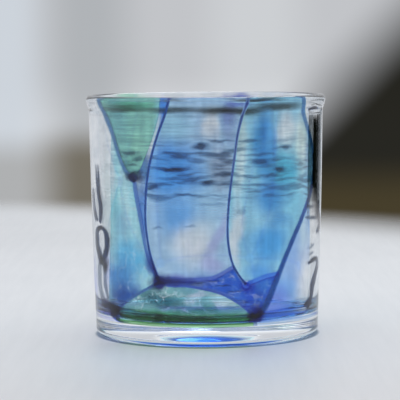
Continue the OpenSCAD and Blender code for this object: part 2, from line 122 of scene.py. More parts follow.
def on_wall(angle, z, r):
    a = math.radians(angle)
    return (r * math.sin(a), -r * math.cos(a), z)


# Colours

NO_TINT = (1, 1, 1, 1)


def linear(code):
    """Linear red, green and blue of an sRGB colour written as rrggbb."""
    parts = [int(code[i:i + 2], 16) / 255 for i in (0, 2, 4)]
    return [c / 12.92 if c <= 0.04045 else ((c + 0.055) / 1.055) ** 2.4 for c in parts]


def opaque(code):
    return linear(code) + [1]


CLEAR_SEEN = linear("c9ced6")  # what clear glass looks like against the light


def through(code):
    """What a layer lets through so that it looks this colour against the light."""
    return [min(c / k, 1.0) for c, k in zip(linear(code), CLEAR_SEEN)] + [1.0]


class Look:
    """The node tree of a material, or of the world, with short calls for the nodes used here."""

    def __init__(self, name, owner=None):
        self.owner = owner or bpy.data.materials.new(name)
        self.owner.use_nodes = True
        self.tree = self.owner.node_tree
        self.tree.nodes.clear()
        kind = "ShaderNodeOutputWorld" if owner else "ShaderNodeOutputMaterial"
        self.out = self.tree.nodes.new(kind)

    def put(self, socket, value):
        if isinstance(value, bpy.types.NodeSocket):
            self.tree.links.new(value, socket)
        else:
            socket.default_value = value

    def node(self, kind, inputs=None, **settings):
        n = self.tree.nodes.new(kind)
        for key, value in settings.items():
            setattr(n, key, value)
        for key, value in (inputs or {}).items():
            self.put(n.inputs[key], value)
        return n

    def place(self):
        """The shaded point, in metres from the object's origin."""
        return self.node("ShaderNodeTexCoord").outputs["Object"]

    def attribute(self, name):
        return self.node("ShaderNodeAttribute", attribute_name=name).outputs["Fac"]

    def split(self, vector):
        return self.node("ShaderNodeSeparateXYZ", {0: vector}).outputs

    def join(self, x, y):
        return self.node("ShaderNodeCombineXYZ", {0: x, 1: y}).outputs[0]

    def math(self, operation, a, b=0.0):
        return self.node("ShaderNodeMath", {0: a, 1: b}, operation=operation).outputs[0]

    def times(self, a, b):
        return self.math("MULTIPLY", a, b)

    def minus(self, a, b):
        return self.math("SUBTRACT", a, b)

    def vector(self, operation, a, b=(0, 0, 0)):
        n = self.node("ShaderNodeVectorMath", {0: a, 1: b}, operation=operation)
        return n.outputs["Value" if operation == "LENGTH" else "Vector"]

    def stretched(self, where, factors):
        return self.vector("MULTIPLY", where, factors)

    def ramp(self, value, low, high, at_low=0.0, at_high=1.0):
        inputs = {"Value": value, "From Min": low, "From Max": high, "To Min": at_low, "To Max": at_high}
        n = self.node("ShaderNodeMapRange", inputs, interpolation_type="SMOOTHSTEP")
        return n.outputs["Result"]

    def fall(self, value, low, high):
        return self.ramp(value, low, high, 1.0, 0.0)

    def blend(self, share, a, b, kind="MIX"):
        inputs = {"Factor": share, "A": a, "B": b}
        n = self.node("ShaderNodeMix", inputs, data_type="RGBA", blend_type=kind)
        return n.outputs["Result"]

    def noise(self, where, scale, detail=2.0, rough=0.5):
        inputs = {"Vector": where, "Scale": scale, "Detail": detail, "Roughness": rough}
        return self.node("ShaderNodeTexNoise", inputs).outputs["Fac"]

    def uneven(self, where, grain, reach):
        """Noise round 0, within half of reach each way."""
        return self.times(self.minus(self.noise(where, *grain), 0.5), reach)

    def film(self, colour):
        """A face that light passes straight through, tinted."""
        return self.node("ShaderNodeBsdfTransparent", {"Color": colour}).outputs[0]

    def mixed(self, share, a, b):
        return self.node("ShaderNodeMixShader", {0: share, 1: a, 2: b}).outputs[0]

    def surface(self, shader):
        self.put(self.out.inputs["Surface"], shader)
        return self.owner


# Looks of the coloured glass

DEGREES_HIGH = 106  # the coloured wall's height, in degrees' widths at mid height
RADIAN = 180 / math.pi

# Noise in the glass: bumps a metre, detail and roughness
VEIN_GRAIN = (170.0, 2.0)
UPRIGHT_GRAIN = (380.0, 4.0, 0.65)
MOTTLE_GRAIN = (210.0, 3.0)
LEVEL_GRAIN = (1500.0, 1.0)
FLOOR_GRAIN = (120.0, 3.0)
CANE_GRAIN = (260.0, 3.0)
BLOT_GRAIN = (240.0, 4.0)
WAVE_GRAIN = (1.0, 2.5, 0.55)  # bumps a degree, before the stretch
UPRIGHT_STRETCH = (1, 1, 0.1)
LEVEL_STRETCH = (0.06, 0.06, 1)
WAVE_STRETCH = (0.05, 0.3, 0)
# How noise pushes the marks about on the wall: degrees, and bumps a metre
WASH_PUSH = (5.0, 90.0)
LENS_PUSH = (7.0, 90.0)
WAVE_PUSH = (2.4, 75.0)
REFRACTION_STROKE_PUSH = (1.6, 260.0)
STREAK_PUSH = (1.2, 110.0)
PUSH_DETAIL = 3.0
PUSH_SHIFTS = ((0, 0, 0), (3.1, 1.7, 0.4))  # give the push sideways and the push up their own noise

# Zones of the wall, from and to a height
LEVEL_ZONE_SHARES = (0.5, 0.7)
WAVE_RISE_SHARES = (0.5, 0.6)
WAVE_FALL_SHARES = (0.78, 0.87)
CANE_ZONE_SHARES = (0.55, 0.8)
FOOT_FADE_SHARES = (-0.021, -0.006)

VEIN_CODE = "e4ecf0"
VEIN_W = 0.03  # how near the middle of its range the noise is in a vein
MOTTLED = 0.91  # what the darkest mottles let through
# How much taller and bolder the painted refraction strokes are drawn
REFRACTION_STROKE_TALLER = 1.3
REFRACTION_STROKE_BOLDER = 1.25
DARKEST = 0.92  # the most that a mark takes away
SHADE_POWERS = (1.0, 0.8, 0.62)  # red, green and blue: what is shaded turns a little blue
STREAK_TINT = (0.03, 0.045, 0.04, 1)


def wall_place(look, back=False):
    """The shaded point, and its place on the wall as (angle in degrees, height in the same unit, 0).

    Angles run from -180 to 180, or round the back from 0 to 360.
    """
    place = look.place()
    x, y, z = look.split(place)
    if back:
        angle = look.math("ARCTAN2", look.times(x, -1.0), y)
        angle = look.math("ADD", look.times(angle, RADIAN), 180.0)
    else:
        angle = look.times(look.math("ARCTAN2", x, look.times(y, -1.0)), RADIAN)
    share = look.math("DIVIDE", look.minus(z, FLOOR_Z), LIP_Z - FLOOR_Z)
    return place, look.join(angle, look.times(share, DEGREES_HIGH))


def by_height(look, wall, zone_shares, at_low=0.0, at_high=1.0):
    low, high = (share * DEGREES_HIGH for share in zone_shares)
    return look.ramp(look.split(wall)[1], low, high, at_low, at_high)


def patch(look, wall, angle, share, wide, tall, turn=0.0, soft=0.2):
    """1 inside an ellipse of this half width and half height on the wall, fading to 0 at its edge."""
    offset = look.vector("SUBTRACT", wall, (angle, share * DEGREES_HIGH, 0))
    if turn:
        inputs = {"Vector": offset, "Angle": math.radians(-turn)}
        offset = look.node("ShaderNodeVectorRotate", inputs, rotation_type="Z_AXIS").outputs[0]
    unit = look.vector("DIVIDE", offset, (wide, tall * DEGREES_HIGH, 1))
    return look.fall(look.vector("LENGTH", unit), soft, 1.0)


def mark(look, wall, row, soft, taller=1.0, bolder=1.0):
    """How much a mark takes away: (angle, height share, half width, half height, strength)."""
    angle, share, wide, tall, strength = row
    mask = patch(look, wall, angle, share, wide, taller * tall, soft=soft)
    return look.times(mask, min(bolder * strength, DARKEST))


def pushed(look, place, wall, reach, bumps):
    """The wall place pushed about by noise, by up to reach degrees."""
    pushes = [look.uneven(look.vector("ADD", place, shift), (bumps, PUSH_DETAIL), 2 * reach)
              for shift in PUSH_SHIFTS]
    return look.vector("ADD", wall, look.join(*pushes))


def washed(look, wall, base, washes):
    """The base colour with soft patches: (colour, angle, height share, half width, half height, strength).

    A patch that leans has its turn in degrees last.
    """
    colour = through(base)
    for code, angle, share, wide, tall, strength, *turn in washes:
        mask = patch(look, wall, angle, share, wide, tall, *turn)
        colour = look.blend(look.times(mask, strength), colour, through(code))
    return colour


def darkened(look, shade, mask):
    return look.times(shade, look.minus(1.0, mask))


def veined(look, place, colour, strength):
    ridge = look.math("ABSOLUTE", look.minus(look.noise(place, *VEIN_GRAIN), 0.5))
    return look.blend(look.ramp(ridge, 0.0, VEIN_W, strength, 0.0), colour, through(VEIN_CODE))


def grained(look, place, wall, streak, lines):
    """The shade of upright streaks, of mottles and of fine level lines, which are stronger high up."""
    upright = look.noise(look.stretched(place, UPRIGHT_STRETCH), *UPRIGHT_GRAIN)
    shade = look.ramp(upright, 0.3, 0.7, 1 - streak, 1.0)
    shade = look.times(shade, look.ramp(look.noise(place, *MOTTLE_GRAIN), 0.35, 0.65, MOTTLED, 1.0))
    level = look.noise(look.stretched(place, LEVEL_STRETCH), *LEVEL_GRAIN)
    level = look.ramp(level, 0.35, 0.65, lines, 0.0)
    return darkened(look, shade, look.times(level, by_height(look, wall, LEVEL_ZONE_SHARES, 0.3)))


def wavy_refraction_shade(look, place, wall, strength):
    """Painted refraction shade: long wavy dark streaks in the rippled zone under the rim."""
    wavy = look.stretched(pushed(look, place, wall, *WAVE_PUSH), WAVE_STRETCH)
    wavy = look.ramp(look.noise(wavy, *WAVE_GRAIN), 0.46, 0.66, 0.0, strength)
    wavy = look.times(wavy, by_height(look, wall, WAVE_RISE_SHARES))
    return look.times(wavy, by_height(look, wall, WAVE_FALL_SHARES, 1.0, 0.0))


def finish_film(look, colour):
    """Lets light straight through, tinted. A closed plate is crossed twice, so each face takes the root."""
    root = look.node("ShaderNodeGamma", {"Color": colour, "Gamma": 0.5})
    return look.surface(look.film(root.outputs[0]))


def plate_look(name, base, washes=(), refraction_strokes=(), streaks=(), streak=0.2, lines=0.25, swirl=WASH_PUSH,
               refraction_waves=0.0, veins=0.0, back=False):
    """Coloured glass with soft patches, the washes.

    The strokes are painted dark refraction marks, which stand in for dark surroundings seen bent through the
    glass: (angle, height share, half width, half height, strength). streaks are the same in grey. streak and
    lines are how far upright streaks and fine level lines darken the glass, and swirl how its patches are
    pushed about. The waves darken the rippled zone in long wavy streaks of painted refraction shade, and
    veins are pale. Below the floor inside the glass the colour ends.
    """
    look = Look(name)
    place, wall = wall_place(look, back)
    colour = washed(look, pushed(look, place, wall, *swirl), base, washes)
    if veins:
        colour = veined(look, place, colour, veins)
    shade = grained(look, place, wall, streak, lines)
    # Painted refraction shade: long wavy dark streaks in the rippled zone
    if refraction_waves:
        shade = darkened(look, shade, wavy_refraction_shade(look, place, wall, refraction_waves))
    # Painted dark refraction strokes, standing in for dark surroundings seen bent through the glass
    close = pushed(look, place, wall, *REFRACTION_STROKE_PUSH)
    for row in refraction_strokes:
        shade = darkened(look, shade, mark(look, close, row, 0.2, REFRACTION_STROKE_TALLER, REFRACTION_STROKE_BOLDER))
    grey = look.node("ShaderNodeCombineColor")
    for socket, power in zip(grey.inputs, SHADE_POWERS):
        look.put(socket, look.math("POWER", shade, power))
    colour = look.blend(1.0, colour, grey.outputs[0], "MULTIPLY")
    broad = pushed(look, place, wall, *STREAK_PUSH)
    for row in streaks:
        colour = look.blend(mark(look, broad, row, 0.15), colour, STREAK_TINT, "MULTIPLY")
    return finish_film(look, look.blend(by_height(look, wall, FOOT_FADE_SHARES), NO_TINT, colour))


# Across the floor: where the blue middle gives way to the pale ring, and that to the rim's tint
MIDDLE_ENDS = (15 * MM, 22 * MM)
RIM_STARTS = (27 * MM, 34 * MM)
FLOOR_UNEVEN = 8 * MM
FLOOR_MIDDLE = "6488c4"
FLOOR_PALE = "d6dee0"


def floor_look(name, rim):
    """A plate across the floor: its own tint at the rim, pale inside it and blue round the middle."""
    look = Look(name)
    place = look.place()
    far = look.vector("LENGTH", look.stretched(place, (1, 1, 0)))
    far = look.math("ADD", far, look.uneven(place, FLOOR_GRAIN, FLOOR_UNEVEN))
    colour = look.blend(look.ramp(far, *RIM_STARTS), through(FLOOR_PALE), through(rim))
    colour = look.blend(look.ramp(far, *MIDDLE_ENDS), through(FLOOR_MIDDLE), colour)
    return finish_film(look, colour)


# Across a cane 0 is its middle, 1 the plates' edges and 2 where it has faded out. A blot's middle is
# 0 and its rim 2, and its hole is 1 at the edge of the hole in the plates.
FADED = 2.0
CANE_UNEVEN = 0.7
CANE_FADE = (1.5, FADED)
HALO_FADE = (1.0, 1.2)
BLOT_UNEVEN = 1.6
BLOT_SPREAD = (0.3, 1.9)
BLOT_FADE = (1.4, FADED)
HOLE_FADE = (1.0, 1.12)


def cane_and_refraction_line_look(name, code, halo, core, soft, strength, upper, back=False):
    """A cane drawn out thin, which also draws the painted dark refraction lines near the sides: dark up to
    core across it, and softly fading beyond.

    halo is the colour that carries the plates over the join; upper weakens the line high on the wall.
    """
    look = Look(name)
    place, wall = wall_place(look, back)
    across = look.attribute("across")
    ragged = look.math("ADD", across, look.uneven(place, CANE_GRAIN, CANE_UNEVEN))
    dark = look.ramp(ragged, core, core + soft, strength, 0.0)
    dark = look.times(dark, look.fall(across, *CANE_FADE))
    dark = look.times(dark, by_height(look, wall, CANE_ZONE_SHARES, 1.0, upper))
    seam = NO_TINT
    if back:
        seam = washed(look, pushed(look, place, wall, *WASH_PUSH), BACK_BASE, BACK_WASHES)
    elif halo:
        seam = through(halo)
    ground = look.blend(look.fall(across, *HALO_FADE), NO_TINT, seam)
    return finish_film(look, look.blend(dark, ground, through(code)))


def blot_look(name, code, strength, halo):
    """A soft blot where canes run together. halo is the colour that fills the hole in the plates."""
    look = Look(name)
    across = look.attribute("across")
    ragged = look.math("ADD", across, look.uneven(look.place(), BLOT_GRAIN, BLOT_UNEVEN))
    mask = look.times(look.ramp(ragged, *BLOT_SPREAD, strength, 0.0), look.fall(across, *BLOT_FADE))
    ground = NO_TINT
    if halo:
        ground = look.blend(look.fall(look.attribute("hole"), *HOLE_FADE), ground, through(halo))
    return finish_film(look, look.blend(mask, ground, through(code)))


# The clear glass
LINE_STRETCH = (0.05, 0.05, 1)
LINE_GRAIN = (1100.0, 2.0, 0.55)
LINE_DEPTH = 0.02 * MM
TINT_BUMPS = 60.0
CLEAR_TINTS = ((0.98, 0.99, 0.99, 1), (0.99, 0.995, 1.0, 1))
SHADOW_TINT = (0.97, 0.98, 0.985, 1)


def glass_look():
    """Clear glass with the faint level lines of blowing. Lamps' rays pass, so colour reaches the table."""
    look = Look("clear_glass")
    place = look.place()
    lines = look.noise(look.stretched(place, LINE_STRETCH), *LINE_GRAIN)
    bump = look.node("ShaderNodeBump", {"Strength": 0.03, "Distance": LINE_DEPTH, "Height": lines})
    tint = look.blend(look.ramp(look.noise(place, TINT_BUMPS), 0.3, 0.7), *CLEAR_TINTS)
    glass = look.node("ShaderNodeBsdfPrincipled", {
        "Base Color": tint, "Roughness": 0.0, "IOR": 1.5, "Transmission Weight": 1.0,
        "Normal": bump.outputs[0]})
    shadow_ray = look.node("ShaderNodeLightPath").outputs["Is Shadow Ray"]
    return look.surface(look.mixed(shadow_ray, glass.outputs[0], look.film(SHADOW_TINT)))


# Meshes

def linked(name, data):
    piece = bpy.data.objects.new(name, data)
    bpy.context.scene.collection.objects.link(piece)
    return piece


def new_mesh(name, points, faces, material, **shares):
    mesh = bpy.data.meshes.new(name)
    mesh.from_pydata([tuple(p) for p in points], [], faces)
    mesh.validate()
    mesh.update()
    mesh.shade_smooth()
    for key, values in shares.items():
        attribute = mesh.attributes.new(key, "FLOAT", "POINT")
        attribute.data.foreach_set("value", values)
    mesh.materials.append(material)
    return linked(name, mesh)


# How many faces go round the body, and how many steps each stretch of its outline takes
BODY_TURNS = 240
DISH_STEPS = 16
UNDER_STEPS = 14
HEEL_STEPS = 10
OUTSIDE_STEPS = 129
LIP_STEPS = 14
INSIDE_STEPS = 229
CORNER_STEPS = 18
FLOOR_STEPS = 22


def arc(centre, radius, start, end, steps):
    """Points (r, z) along an arc, without its first."""
    result = []
    for i in range(1, steps + 1):
        a = math.radians(start + (end - start) * i / steps)
        result.append((centre[0] + radius * math.cos(a), centre[1] + radius * math.sin(a)))
    return result


def straight_line(start, end, steps):
    """Points (r, z) along a straight line, without its first."""
    return [(start[0] + (end[0] - start[0]) * i / steps, start[1] + (end[1] - start[1]) * i / steps)
            for i in range(1, steps + 1)]


def along_wall(start, end, steps, inwards):
    """Points (r, z) along the wall, this far inside its outside, without the first."""
    return [(wall_line(z) - inwards, z) for z in np.linspace(start, end, steps + 1)[1:]]


def body_outline():
    """(side, [(r, z)]) from the underside's middle, out, up, over the lip, down and in to the middle."""
    dish_sphere = (DISH_R ** 2 + DISH_DEPTH ** 2) / (2 * DISH_DEPTH)
    under = [(0.0, DISH_DEPTH)]
    for i in range(1, DISH_STEPS + 1):
        r = DISH_R * i / DISH_STEPS
        under.append((r, DISH_DEPTH - dish_sphere + math.sqrt(dish_sphere ** 2 - r ** 2)))
    heel = (wall_line(HEEL_R) - HEEL_R, HEEL_R)
    under += straight_line(under[-1], (heel[0], 0), UNDER_STEPS)
    under += arc(heel, HEEL_R, -90, 0, HEEL_STEPS)
    return [("under", under),
            ("outside", along_wall(HEEL_R, LIP_MID, OUTSIDE_STEPS, 0)),
            ("lip", arc((wall_line(LIP_MID) - WALL_T / 2, LIP_MID), WALL_T / 2, 0, 180, LIP_STEPS)),
            ("inside", along_wall(LIP_MID, CORNER_Z, INSIDE_STEPS, WALL_T)),
            ("floor", arc((CORNER_X, CORNER_Z), CORNER_R, 0, -90, CORNER_STEPS)),
            ("floor", straight_line((CORNER_X, FLOOR_Z), (0.0, FLOOR_Z), FLOOR_STEPS))]


# Ripples left by blowing: how far they stand off the smooth line, the share of that left at the glass's
# smooth sides, their width round the wall, their height, and a shift that gives each its own noise
INSIDE_SWELLS = (0.10 * MM, 0.2, 30 * MM, 26 * MM, (0, 0, 0))
TOOL_RIPPLES = (0.055 * MM, 0.05, 13 * MM, 3.1 * MM, (7.3, 0, 0))
SMALL_RIPPLES = (0.0275 * MM, 0.05, 7 * MM, 1.8 * MM, (0, 2.9, 0))
INSIDE_LINES = (0.0035 * MM, 0.15, 50 * MM, 1.1 * MM, (0, 0, 5.0))
OUTSIDE_SWELLS = (0.03 * MM, 1, 35 * MM, 30 * MM, (1.3, 0, 0))
OUTSIDE_LINES = (0.002 * MM, 0.15, 60 * MM, 1.6 * MM, (0, 4.1, 0))
# Where they are: from, to, and how softly they end
RIPPLE_ZONE_SHARES = (0.62, 0.84, 0.12)
SMOOTH_SIDE_SHARES = (0.91, 1.0, 0.25)
OUTSIDE_ZONE = (6 * MM, 82 * MM, 4 * MM)
INSIDE_ZONE = (0, 81 * MM, 4 * MM)
FLOOR_ZONE = (0, 36 * MM, 4 * MM)
CALM_SHARE = 0.12  # of the tools' ripples, left outside their zone
FLOOR_RIPPLE_SHARE = 0.2


def band(value, low, high, soft):
    """1 between low and high, falling to 0 over soft on each side."""
    return eased((value - low + soft) / soft) * eased((high + soft - value) / soft)


def rippled(p, ripples, lift=0):
    """How far ripples reach at a point: noise from -1 to 1, lifted by lift, times how far they stand off."""
    depth, side_share, wide, high, shift = ripples
    at_sides = band(abs(p[0]) / max(math.hypot(p[0], p[1]), MM), *SMOOTH_SIDE_SHARES)
    bump = noise.noise(Vector((p[0] / wide + shift[0], p[1] / wide + shift[1], p[2] / high + shift[2])))
    return depth * (lift + bump) * (1 - (1 - side_share) * at_sides)


def inside_ripple(p):
    share = (p[2] - FLOOR_Z) / (LIP_Z - FLOOR_Z)
    zone = CALM_SHARE + (1 - CALM_SHARE) * band(share, *RIPPLE_ZONE_SHARES)
    tools = zone * (rippled(p, TOOL_RIPPLES) + rippled(p, SMALL_RIPPLES))
    return rippled(p, INSIDE_SWELLS) + tools + rippled(p, INSIDE_LINES)


def outside_ripple(p):
    """Always inwards, so that the outside stays within the frame's box."""
    return -rippled(p, OUTSIDE_SWELLS, 1) - rippled(p, OUTSIDE_LINES, 1)


def body_point(side, angle, z, r):
    p = on_wall(angle, z, r)
    if side == "outside":
        return on_wall(angle, z, r + outside_ripple(p) * band(z, *OUTSIDE_ZONE))
    if side == "inside":
        return on_wall(angle, z, r + inside_ripple(p) * band(z, *INSIDE_ZONE))
    if side == "floor" and r:
        return (p[0], p[1], z + FLOOR_RIPPLE_SHARE * inside_ripple(p) * band(r, *FLOOR_ZONE))
    return p


def glass_body():
    points = []
    rows = []
    for side, stretch in body_outline():
        for r, z in stretch:
            count = BODY_TURNS if r else 1
            rows.append((len(points), count))
            points += [body_point(side, 360 * k / BODY_TURNS, z, r) for k in range(count)]
    faces = []
    for (here, here_count), (after, after_count) in zip(rows, rows[1:]):
        for k in range(BODY_TURNS):
            n = (k + 1) % BODY_TURNS
            if here_count == 1:
                faces.append((here, after + n, after + k))
            elif after_count == 1:
                faces.append((here + k, here + n, after))
            else:
                faces.append((here + k, here + n, after + n, after + k))
    body = new_mesh("glass_body", points, faces, glass_look())
    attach(body, "root")
    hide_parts("outer_casing", "inner_lining")


# Canes, painted dark refraction lines and knots
ACROSS = 8  # faces across half a cane's width
PATH_STEPS = 8
CANE_W = 0.9 * MM
CANE_T = 0.28 * MM
EDGE_W = 0.5 * MM  # soft edge past the core, where the spread is 1
TOP_CLEAR = 0.02 * MM
LIP_SHARE = 0.9
KNOT_T = 0.3 * MM
KNOT_TURNS = 32
KNOT_RINGS = 7
KNOT_FOOT_SHARE = 0.1


def spline(path):
    """Catmull-Rom curve through the path's points."""
    result = []
    last = len(path) - 1
    for i in range(last):
        p, q, r, s = (np.array(path[j], float) for j in (max(i - 1, 0), i, i + 1, min(i + 2, last)))
        for k in range(PATH_STEPS):
            t = k / PATH_STEPS
            result.append((2 * q + (r - p) * t + (2 * p - 5 * q + 4 * r - s) * t ** 2
                           + (3 * q - p - 3 * r + s) * t ** 3) / 2)
    result.append(np.array(path[last], float))
    return result


def lens_face(t, thick, sign):
    """How far a lens-shaped piece's face stands off its middle, t of the way out to its edge."""
    return sign * thick / 2 * math.sqrt(max(1 - t * t, 0))


def cane_ring(before, at, after, spread, bare):
    """The points round a cane at one place of its path, each with its share of the way across."""
    z = min(max(height(at[1]), FLOOR_Z), COLOUR_TOP - TOP_CLEAR)
    run = np.array([(after[0] - before[0]) * degree_w(z), height(after[1]) - height(before[1])])
    square = np.array([-run[1], run[0]]) / np.linalg.norm(run)
    core = at[2] * CANE_W / 2
    half = core + spread * EDGE_W
    ring = []
    for sign, order in ((1, range(-ACROSS, ACROSS + 1)), (-1, range(ACROSS - 1, -ACROSS, -1))):
        for j in order:
            t = math.sin(j / ACROSS * math.pi / 2)
            zz = min(max(z + square[1] * half * t, FLOOR_Z), COLOUR_TOP)
            a = at[0] + square[0] * half * t / degree_w(z)
            off = abs(t) * half
            across = off / core if off < core else 1 + (off - core) / (half - core)
            point = on_wall(a, zz, mid_line(zz) + lens_face(t, CANE_T, sign))
            ring.append((point, FADED if bare else across))
    return ring


def soft_cane_and_refraction_line(name, path, node, material, spread=1.0, bare_ends=0):
    """A flattened cane along a path on the wall, lens-shaped across; it also carries the painted dark
    refraction lines. spread widens it past its core.

    bare_ends rings at each end below the lip are left clear, for a knot to cover.
    """
    curve = spline(path)
    last = len(curve) - 1
    rings = []
    for i, at in enumerate(curve):
        bare = at[1] < LIP_SHARE and min(i, last - i) < bare_ends
        rings.append(cane_ring(curve[max(i - 1, 0)], at, curve[min(i + 1, last)], spread, bare))
    count = len(rings[0])
    points = [p for ring in rings for p, _ in ring]
    across = [t for ring in rings for _, t in ring]
    faces = [tuple(range(count - 1, -1, -1))]
    for i in range(last):
        for j in range(count):
            n = (j + 1) % count
            faces.append((i * count + j, i * count + n, (i + 1) * count + n, (i + 1) * count + j))
    faces.append(tuple(last * count + j for j in range(count)))
    piece = new_mesh(name, points, faces, material, across=across)
    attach(piece, "root")
    if node:
        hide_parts(node)


def knot_spot(at, size, turn, hole_r, t, b, sign):
    """A point of a knot, t of the way out in direction b, and how far across blot and hole it is."""
    z = height(at[1])
    spin = math.radians(turn)
    u, v = size[0] * MM * t * math.cos(b), size[1] * MM * t * math.sin(b)
    du, dv = u * math.cos(spin) - v * math.sin(spin), u * math.sin(spin) + v * math.cos(spin)
    zz = min(max(z + dv, FLOOR_Z), COLOUR_TOP)
    off = abs(du) if dv < 0 and at[1] < KNOT_FOOT_SHARE else math.hypot(du, dv)
    point = on_wall(at[0] + du / degree_w(z), zz, mid_line(zz) + lens_face(t, KNOT_T, sign))
    return point, FADED * t, off / (hole_r * MM)


def soft_knot(name, at, size, material, turn=0.0, hole_r=1.0):
    """A flattened blob on the wall where canes run together.

    size is its half width and half height, and hole_r the radius of the hole in the plates, all in mm.
    """
    turns = [2 * math.pi * k / KNOT_TURNS for k in range(KNOT_TURNS)]
    spots = []
    for sign in (1, -1):
        spots.append(knot_spot(at, size, turn, hole_r, 0, 0, sign))
        for i in range(1, KNOT_RINGS):
            spots += [knot_spot(at, size, turn, hole_r, i / KNOT_RINGS, b, sign) for b in turns]
    rim_start = len(spots)
    spots += [knot_spot(at, size, turn, hole_r, 1, b, 0) for b in turns]
    faces = []
    for base, order in ((0, 1), (rim_start // 2, -1)):
        for k in range(KNOT_TURNS):
            n = (k + 1) % KNOT_TURNS
            faces.append((base, base + 1 + k, base + 1 + n)[::order])
            for i in range(KNOT_RINGS - 1):
                a = base + 1 + i * KNOT_TURNS
                b = rim_start if i == KNOT_RINGS - 2 else a + KNOT_TURNS
                faces.append((a + k, b + k, b + n, a + n)[::order])
    points, across, hole = zip(*spots)
    piece = new_mesh(name, points, faces, material, across=across, hole=hole)
    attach(piece, "root")


# Stage: a pale table, a soft backdrop by direction, and soft light

TABLE_R = 0.95
TABLE_RINGS = 40
TABLE_TURNS = 96
TABLE_TOP = -0.15 * MM
TABLE_CODES = ("d0d2d4", "dfe0e1")
TABLE_STRETCH = (1, 0.06, 1)
TABLE_GRAIN = (260.0, 3.0, 0.6)
TABLE_GRAIN_SHARE = 0.06
CLOUD_GRAIN = (9.0, 2.0)
CLOUD_SHARE = 0.05
# The table fades out between these shares of the way from its visible middle to its visible edge
TABLE_MIDDLE = (-0.28, 0.02, 0)
TABLE_HALF = (0.56, 0.62, 1)
TABLE_FADE_SHARES = (0.82, 1.1)
# Painted shade by the distance behind the glass: darker far back, and darker in front where it stands in for
# the glass's shadow. Colour, from, to, and the strength at each
TABLE_PAINTED_SHADES = [("606060", 0.12, 0.42, 0.0, 0.14), ("a08c84", -0.2, 0.05, 0.2, 0.0)]
# Painted contact shadow: the dark ring on the table where the foot meets it, tinted like the glass
CONTACT_SHADOW_CODE = "1c4c6c"
CONTACT_SHADOW_STRENGTH = 0.85
CONTACT_SHADOW_RISE = (FOOT_R - 3 * MM, FOOT_R - 1.5 * MM)
CONTACT_SHADOW_FALL = (FOOT_R - 0.5 * MM, FOOT_R + 1.0 * MM)


def table_look():
    look = Look("table_top")
    place = look.place()
    grain = look.noise(look.stretched(place, TABLE_STRETCH), *TABLE_GRAIN)
    grain = look.times(grain, TABLE_GRAIN_SHARE)
    cloud = look.times(look.noise(place, *CLOUD_GRAIN), CLOUD_SHARE)
    shade = look.ramp(look.math("ADD", grain, cloud), 0.0, TABLE_GRAIN_SHARE + CLOUD_SHARE)
    colour = look.blend(shade, *map(opaque, TABLE_CODES))
    # Painted shade on the table: darker far back, and darker in front of the glass
    for code, near, far, at_near, at_far in TABLE_PAINTED_SHADES:
        tint = look.ramp(look.split(place)[1], near, far, at_near, at_far)
        colour = look.blend(tint, colour, opaque(code))
    # Painted contact shadow round the foot
    out = look.vector("LENGTH", look.stretched(place, (1, 1, 0)))
    contact_shadow = look.ramp(out, *CONTACT_SHADOW_FALL, CONTACT_SHADOW_STRENGTH, 0.0)
    contact_shadow = look.times(look.ramp(out, *CONTACT_SHADOW_RISE), contact_shadow)
    colour = look.blend(contact_shadow, colour, opaque(CONTACT_SHADOW_CODE))
    paint = look.node("ShaderNodeBsdfPrincipled", {"Base Color": colour, "Roughness": 0.55})
    offset = look.vector("SUBTRACT", place, TABLE_MIDDLE)
    gone = look.ramp(look.vector("LENGTH", look.vector("DIVIDE", offset, TABLE_HALF)), *TABLE_FADE_SHARES)
    return look.surface(look.mixed(gone, paint.outputs[0], look.film(NO_TINT)))


def table():
    turns = [2 * math.pi * k / TABLE_TURNS for k in range(TABLE_TURNS)]
    points = [(0.0, 0.0, TABLE_TOP)]
    for i in range(1, TABLE_RINGS + 1):
        r = TABLE_R * i / TABLE_RINGS
        points += [(r * math.sin(a), r * math.cos(a), TABLE_TOP) for a in turns]
    faces = []
    for k in range(TABLE_TURNS):
        n = (k + 1) % TABLE_TURNS
        faces.append((0, 1 + n, 1 + k))
        for i in range(TABLE_RINGS - 1):
            a = 1 + i * TABLE_TURNS
            faces.append((a + k, a + n, a + TABLE_TURNS + n, a + TABLE_TURNS + k))
    new_mesh("table_top", points, faces, table_look())


# The backdrop, by degrees of rise and degrees right of straight ahead. Its even layers, from below up:
# colour, the rise where it starts and the rise where it is full
WALL_CODE = "dcdee2"
WALL_LAYERS = [("c2c4c8", -2.6, -0.6), ("f0f3f8", 3, 20)]
GROUND_CODE = "ccced3"
GROUND_ENDS = (-7.0, -6.0)
# Its places: colour, from and to degrees right of straight ahead, lowest, highest, strength. The soft
# dim ones behind the glass are left out of its refractions, which see an even pale studio and one dark
# screen to the right. Each kind has the softness of its sides and of its tops.
DIM_PLACES = [("cdd4dc", -9.0, -4.6, -4.4, 3.0, 0.95), ("abafb3", -4.3, -2.2, -4.4, 2.0, 0.8),
              ("dadee1", 0.2, 2.6, -2.0, 3.0, 0.4), ("a6a6a5", -9.0, -2.0, -4.4, -3.5, 0.8),
              ("6e685a", -4.4, -2.0, -4.4, -3.3, 0.9)]
DIM_SOFTNESS = (0.9, 1.3)
DARK_SCREEN = [("0a0c08", 17.0, 30, -4.8, -2.2, 1.0), ("0a0c08", 28, 60, -4.8, -2.8, 1.0)]
SCREEN_SOFTNESS = (0.5, 0.8)
FOOT_SOFTNESS = 0.8
# The dim part of the room on the right: its sloping top edge, its left edge, its right end, and the
# rise where its lower colour turns into its upper
DARK_TOP = (-6.6, -3.0)
DARK_LEFT = (1.2, 2.5)
DARK_RIGHT = (12, 20)
DARK_TURN = (-4.6, -3.0)
DARK_CODES = ("423a24", "1f1e17")
DARK_STRENGTH = 0.99


